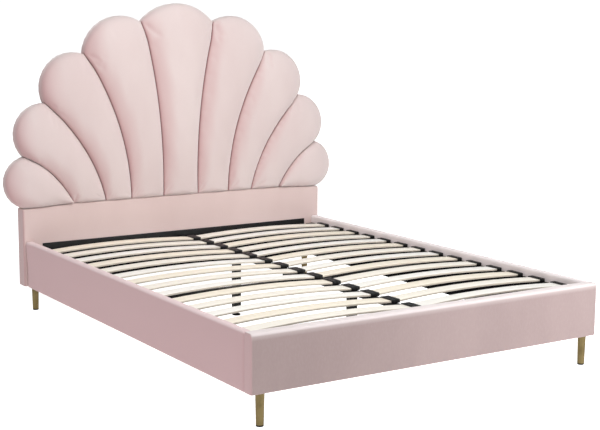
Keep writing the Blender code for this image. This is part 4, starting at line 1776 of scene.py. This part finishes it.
# ----------------------------------------------------------------------- steel pieces
@dataclass
class SteelFrame(Part):
    """Head angle, centre beam, cross tube, centre legs, brackets and bolts."""

    tube_height: float = 0.025
    gauge: float = 0.003            # thickness of the pressed angles
    press: float = 0.0012           # rounding of their edges
    leg: float = 0.045              # width of a bracket's two leaves
    bracket_top: float = 0.252
    bracket_lift: float = 0.030     # from the rail's bottom to the bracket
    bolt_inset: float = 0.022       # from a bracket's end to its bolts

    def straight(self, node: str, axis: Axis, radius: float) -> None:
        """A rounded tube in place of a plain CAD bar.

        Args:
            node: The CAD node.
            axis: Its long axis.
            radius: Rounding of its edges.
        """
        low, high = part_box(node)
        piece = bar(low, high, axis, radius).piece(node + "_tube", self.finishes.steel,
                                                   "black_steel")
        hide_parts(node)

    def cross_tube(self) -> None:
        """The tube at half length, with a saddle under the beam."""
        low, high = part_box("mid_cross_rail")
        tube_top = low.z + self.tube_height
        tube = bar(low, Vector((high.x, high.y, tube_top)), Axis.X, 0.004)
        saddle = bar(Vector((-0.024, low.y + 0.001, tube_top - 0.0006)),
                     Vector((0.024, high.y - 0.001, high.z)), Axis.Z, 0.002)
        piece = tube.joined(saddle).piece("mid_cross_rail_tube", self.finishes.steel,
                                          "black_steel")
        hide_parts("mid_cross_rail")

    def head_angle(self) -> None:
        """The pressed angle on the headboard: a thin L carried across the bed."""
        low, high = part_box("head_cross_rail")
        gauge = self.gauge
        back = bar(Vector((low.x, high.y - gauge, low.z)), high, Axis.X, self.press)
        shelf = bar(low, Vector((high.x, high.y - gauge + 0.0005, low.z + gauge)),
                    Axis.X, self.press)
        piece = back.joined(shelf).piece("head_angle", self.finishes.steel, "black_steel")
        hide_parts("head_cross_rail")

    def bolt(self, place: Vector, axis: Axis, way: float) -> Surface:
        """A hexagon bolt head on a round washer.

        Args:
            place: Centre of the washer's seat.
            axis: The bolt's axis.
            way: 1 or -1, the way that the head points.

        Returns:
            The closed shapes, joined.
        """
        washer = Surface.turned(np.array([0.0088, 0.0092, 0.0092, 0.0088]),
                                np.array([0.0, 0.0003, 0.0012, 0.0015]),
                                Vector((0, 0, 0)), 24)
        head = Surface.turned(np.array([0.0068, 0.0072, 0.0072, 0.0060]),
                              np.array([0.0015, 0.0019, 0.0055, 0.0065]),
                              Vector((0, 0, 0)), 6)
        points = []
        order = {Axis.X: (2, 0, 1), Axis.Y: (0, 2, 1), Axis.Z: (0, 1, 2)}[axis]
        for shape in (washer, head):
            local = shape.points[:, order] * 1.0
            local[:, axis.value] *= way
            points.append(Surface(local + np.array(place), shape.faces).facing_out())
        return points[0].joined(points[1])

    def brackets(self) -> None:
        """Corner angles that join the side rails to the foot rail and the headboard."""
        p = self.places
        _, foot_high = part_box("foot_rail_cover")
        cover_low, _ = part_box("side_rail_cover_right")
        face = cover_low.x + 0.0012
        gauge, leg = self.gauge, self.leg
        low_z, high_z = p.rail_bottom + self.bracket_lift, self.bracket_top
        bolts = []
        for end_y, way, name in ((foot_high.y + 0.0012, 1, "foot"),
                                 (p.head_y - 0.0012, -1, "head")):
            for side in Side:
                near, far = sorted((end_y, end_y + way * leg))
                plate = bar(Vector((face - gauge, near, low_z)), Vector((face, far, high_z)),
                            Axis.Z, self.press)
                a, b = sorted((end_y, end_y + way * gauge))
                across = bar(Vector((face - leg, a, low_z)),
                             Vector((face - gauge + 0.0005, b, high_z)), Axis.Z,
                             self.press)
                shape = plate.joined(across)
                for z in (low_z + self.bolt_inset, high_z - self.bolt_inset):
                    spot = Vector((face - gauge, end_y + way * leg * 0.6, z))
                    bolts.append((side, self.bolt(spot, Axis.X, -1)))
                    spot = Vector((face - leg * 0.6, end_y + way * gauge, z))
                    bolts.append((side, self.bolt(spot, Axis.Y, way)))
                shape.on(side).piece("corner_bracket_%s_%s" % (name, side.name.lower()),
                                     self.finishes.steel, "black_steel")
        shapes = [shape.on(side) for side, shape in bolts]
        shapes[0].joined(*shapes[1:]).piece("corner_bolts", self.finishes.zinc, "black_steel")

    def centre_leg(self, word: str) -> None:
        """A square support leg with a top plate and its screw glide.

        Args:
            word: head or foot, which of the two it is.
        """
        low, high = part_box("centre_leg_" + word)
        plate = bar(Vector((low.x - 0.012, low.y - 0.012, high.z - 0.0035)),
                    Vector((high.x + 0.012, high.y + 0.012, high.z)), Axis.Z, 0.004)
        shaft = bar(low, Vector((high.x, high.y, high.z - 0.0036)), Axis.Z, 0.003)
        piece = shaft.joined(plate).piece("support_leg_" + word, self.finishes.steel,
                                          "black_steel")
        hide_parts("centre_leg_" + word)
        self.glide(word)

    def glide(self, word: str) -> None:
        """A levelling glide: a broad foot, a hexagon collar and a threaded stud.

        Args:
            word: head or foot, which of the two it is.
        """
        low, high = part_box("levelling_glide_" + word)
        centre = Vector(((low.x + high.x) / 2, (low.y + high.y) / 2, low.z))
        radius = (high.x - low.x) / 2
        foot = Surface.turned(np.array([radius - 0.002, radius - 0.0004, radius,
                                        radius - 0.001, radius - 0.005, 0.009, 0.008]),
                              np.array([0.0, 0.0006, 0.0025, 0.005, 0.0068, 0.0078, 0.008]),
                              centre, 48)
        collar = Surface.turned(np.array([0.0078, 0.0085, 0.0085, 0.0078]),
                                np.array([0.0081, 0.0085, 0.0093, 0.0097]), centre, 6)
        count = 60
        height = np.linspace(0.0098, high.z - low.z, count)
        thread = 0.0044 + 0.0005 * np.abs(np.sin(np.pi * height / 0.00175))
        stud = Surface.turned(thread, height, centre, 24)
        piece = foot.joined(collar, stud).facing_out().piece(
            "glide_" + word, self.finishes.plastic, "glide_plastic", body="glide_" + word)
        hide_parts("levelling_glide_" + word)

    def build(self) -> None:
        """Make the steel frame."""
        self.head_angle()
        self.straight("centre_beam", Axis.Y, 0.004)
        self.cross_tube()
        self.brackets()
        for word in ("head", "foot"):
            self.centre_leg(word)


@dataclass
class CornerLegs(Part):
    """Four tapered brass legs with dark tips."""

    tip_height: float = 0.006
    foot_radius: float = 0.014

    def build(self) -> None:
        """Make the four legs."""
        for end in ("front", "back"):
            for side in Side:
                self.leg("%s_%s" % (end, side.name.lower()))

    def leg(self, word: str) -> None:
        """One leg: a straight taper with an eased top, over a dark tip.

        Args:
            word: Which leg.
        """
        low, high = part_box("leg_" + word)
        centre = Vector(((low.x + high.x) / 2, (low.y + high.y) / 2, 0.0))
        top_radius = (high.x - low.x) / 2
        foot_radius, height = self.foot_radius, high.z
        steps = np.linspace(0, 1, 24)
        z = self.tip_height + (height - 0.004 - self.tip_height) * steps
        taper = foot_radius + (top_radius - 0.0006 - foot_radius) * z / height
        radii = np.concatenate([[taper[0] - 0.0008], taper, [top_radius, top_radius,
                                                              top_radius - 0.0008]])
        heights = np.concatenate([[self.tip_height - 0.0004], z,
                                  [height - 0.0034, height - 0.0006, height]])
        shaft = Surface.turned(radii, heights, centre, 64).facing_out()
        piece = shaft.piece("brass_leg_" + word, self.finishes.brass, "antique_brass")
        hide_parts("leg_" + word)
        tip = Surface.turned(np.array([foot_radius - 0.0012, foot_radius - 0.0002,
                                       foot_radius + 0.0001, foot_radius - 0.0006]),
                             np.array([0.0, 0.0008, self.tip_height - 0.0012,
                                       self.tip_height - 0.0006]), centre, 48).facing_out()
        tip.piece("leg_tip_" + word, self.finishes.plastic, "black_plastic")


# ------------------------------------------------------------------------------ studio
@dataclass(frozen=True)
class Softbox:
    """A square soft light that points at a target."""

    name: str
    place: tuple[float, float, float]
    target: tuple[float, float, float]
    size: float
    power: float
    spread: float = 180.0           # full angle of its beam in degrees

    def build(self) -> None:
        """Put the light in the scene."""
        data = bpy.data.lights.new(self.name, "AREA")
        data.shape = "SQUARE"
        data.size = self.size
        data.energy = self.power
        data.spread = math.radians(self.spread)
        obj = bpy.data.objects.new(self.name, data)
        obj.location = self.place
        aim = Vector(self.target) - Vector(self.place)
        obj.rotation_euler = aim.to_track_quat("-Z", "Y").to_euler()
        bpy.context.scene.collection.objects.link(obj)


@dataclass(frozen=True)
class Studio:
    """Pale floor, soft light and the camera."""

    camera_place: tuple[float, float, float] = (-2.9925, -4.7475, 1.4185)
    pan: float = 0.5726
    tilt: float = 0.1564
    roll: float = 0.0063
    lens: float = 78.4
    lights: tuple[Softbox, ...] = (
        Softbox("top_softbox", (-0.35, -1.5, 3.6), (-0.1, 1.0, 0.7), 2.0, 82.0),
        Softbox("front_softbox", (-0.5, -2.6, 2.1), (0.0, 1.0, 0.62), 1.2, 4.0, 70.0),
        Softbox("side_softbox", (1.5, -3.2, 0.8), (0.8, -1.0, 0.2), 0.8, 5.5, 70.0),
    )
    ambient: float = 0.40
    ambient_seen: float = 1.05      # the surround's strength as the camera sees it
    floor_glow: float = 0.30
    floor_seen: float = 0.97        # the floor's glow as the camera sees it
    floor_reach: float = 30.0

    def camera(self) -> None:
        """Place the camera: turned from +Y towards +X by pan, then tipped down."""
        cos_pan, sin_pan = math.cos(self.pan), math.sin(self.pan)
        ahead = Vector((sin_pan * math.cos(self.tilt), cos_pan * math.cos(self.tilt),
                        -math.sin(self.tilt)))
        level = Vector((cos_pan, -sin_pan, 0.0))
        above = level.cross(ahead)
        right = level * math.cos(self.roll) + above * math.sin(self.roll)
        up = above * math.cos(self.roll) - level * math.sin(self.roll)
        turn = Matrix((right, up, -ahead)).transposed().to_4x4()
        data = bpy.data.cameras.new("camera")
        data.lens = self.lens
        data.sensor_width = 36.0
        data.clip_end = 100.0
        obj = bpy.data.objects.new("camera", data)
        obj.matrix_world = Matrix.Translation(Vector(self.camera_place)) @ turn
        bpy.context.scene.collection.objects.link(obj)
        bpy.context.scene.camera = obj

    def floor(self) -> None:
        """A wide pale floor."""
        mesh = bpy.data.meshes.new("floor")
        reach = self.floor_reach
        corners = [(-reach, -reach, -0.0005), (reach, -reach, -0.0005),
                   (reach, reach, -0.0005), (-reach, reach, -0.0005)]
        mesh.from_pydata(corners, [], [(0, 1, 2, 3)])
        material = bpy.data.materials.new("pale_floor")
        material.use_nodes = True
        shader = material.node_tree.nodes["Principled BSDF"]
        shader.inputs["Base Color"].default_value = (0.93, 0.93, 0.93, 1)
        shader.inputs["Roughness"].default_value = 0.9
        shader.inputs["Emission Color"].default_value = (1.0, 1.0, 1.0, 1)
        net = NodeNet(material.node_tree)
        seen = net.add("ShaderNodeLightPath").outputs["Is Camera Ray"]
        net.link(net.map_range(seen, 0.0, 1.0, self.floor_glow, self.floor_seen),
                 shader.inputs["Emission Strength"])
        mesh.materials.append(material)
        obj = bpy.data.objects.new("floor", mesh)
        bpy.context.scene.collection.objects.link(obj)

    def world(self) -> None:
        """An even white surround, and plain display colours."""
        scene = bpy.context.scene
        world = bpy.data.worlds.new("studio")
        world.use_nodes = True
        net = NodeNet(world.node_tree)
        back = world.node_tree.nodes["Background"]
        seen = net.add("ShaderNodeLightPath").outputs["Is Camera Ray"]
        strength = net.map_range(seen, 0.0, 1.0, self.ambient, self.ambient_seen)
        net.link(strength, back.inputs["Strength"])
        back.inputs["Color"].default_value = (1.0, 1.0, 1.0, 1)
        scene.world = world
        scene.view_settings.view_transform = "Standard"

    def build(self) -> None:
        """Set up the whole studio."""
        self.camera()
        self.world()
        self.floor()
        for softbox in self.lights:
            softbox.build()


def dress_boards(finishes: Finishes) -> None:
    """Give the CAD boards that stay their plywood.

    Args:
        finishes: The bed's finishes.
    """
    for node in ("headboard_board", "side_rail_board_left", "side_rail_board_right",
                 "foot_rail_board"):
        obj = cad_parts[node]
        obj.data.materials.clear()
        obj.data.materials.append(finishes.board)


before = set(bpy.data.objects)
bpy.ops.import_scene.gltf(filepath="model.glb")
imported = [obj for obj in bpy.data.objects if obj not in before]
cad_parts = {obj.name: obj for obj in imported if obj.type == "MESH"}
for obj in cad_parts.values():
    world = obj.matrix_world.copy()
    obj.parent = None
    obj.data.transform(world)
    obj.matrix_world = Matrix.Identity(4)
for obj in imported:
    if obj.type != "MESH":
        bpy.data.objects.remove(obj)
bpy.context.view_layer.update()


def main() -> None:
    """Build every sub-assembly and the studio."""
    logging.basicConfig(level=logging.INFO, format="%(name)s: %(message)s")
    finishes = Finishes()
    places = Places.read()
    fan = ChannelFan(places, finishes)
    fan.build()
    LowerPanel(places, finishes).build()
    BackCloth(places, finishes, fan).build()
    PaddedRail(places, finishes).build()
    RailLining(places, finishes).build()
    SlatBase(places, finishes).build()
    SteelFrame(places, finishes).build()
    CornerLegs(places, finishes).build()
    dress_boards(finishes)
    Studio().build()
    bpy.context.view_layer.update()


if __name__ == "__main__":
    main()
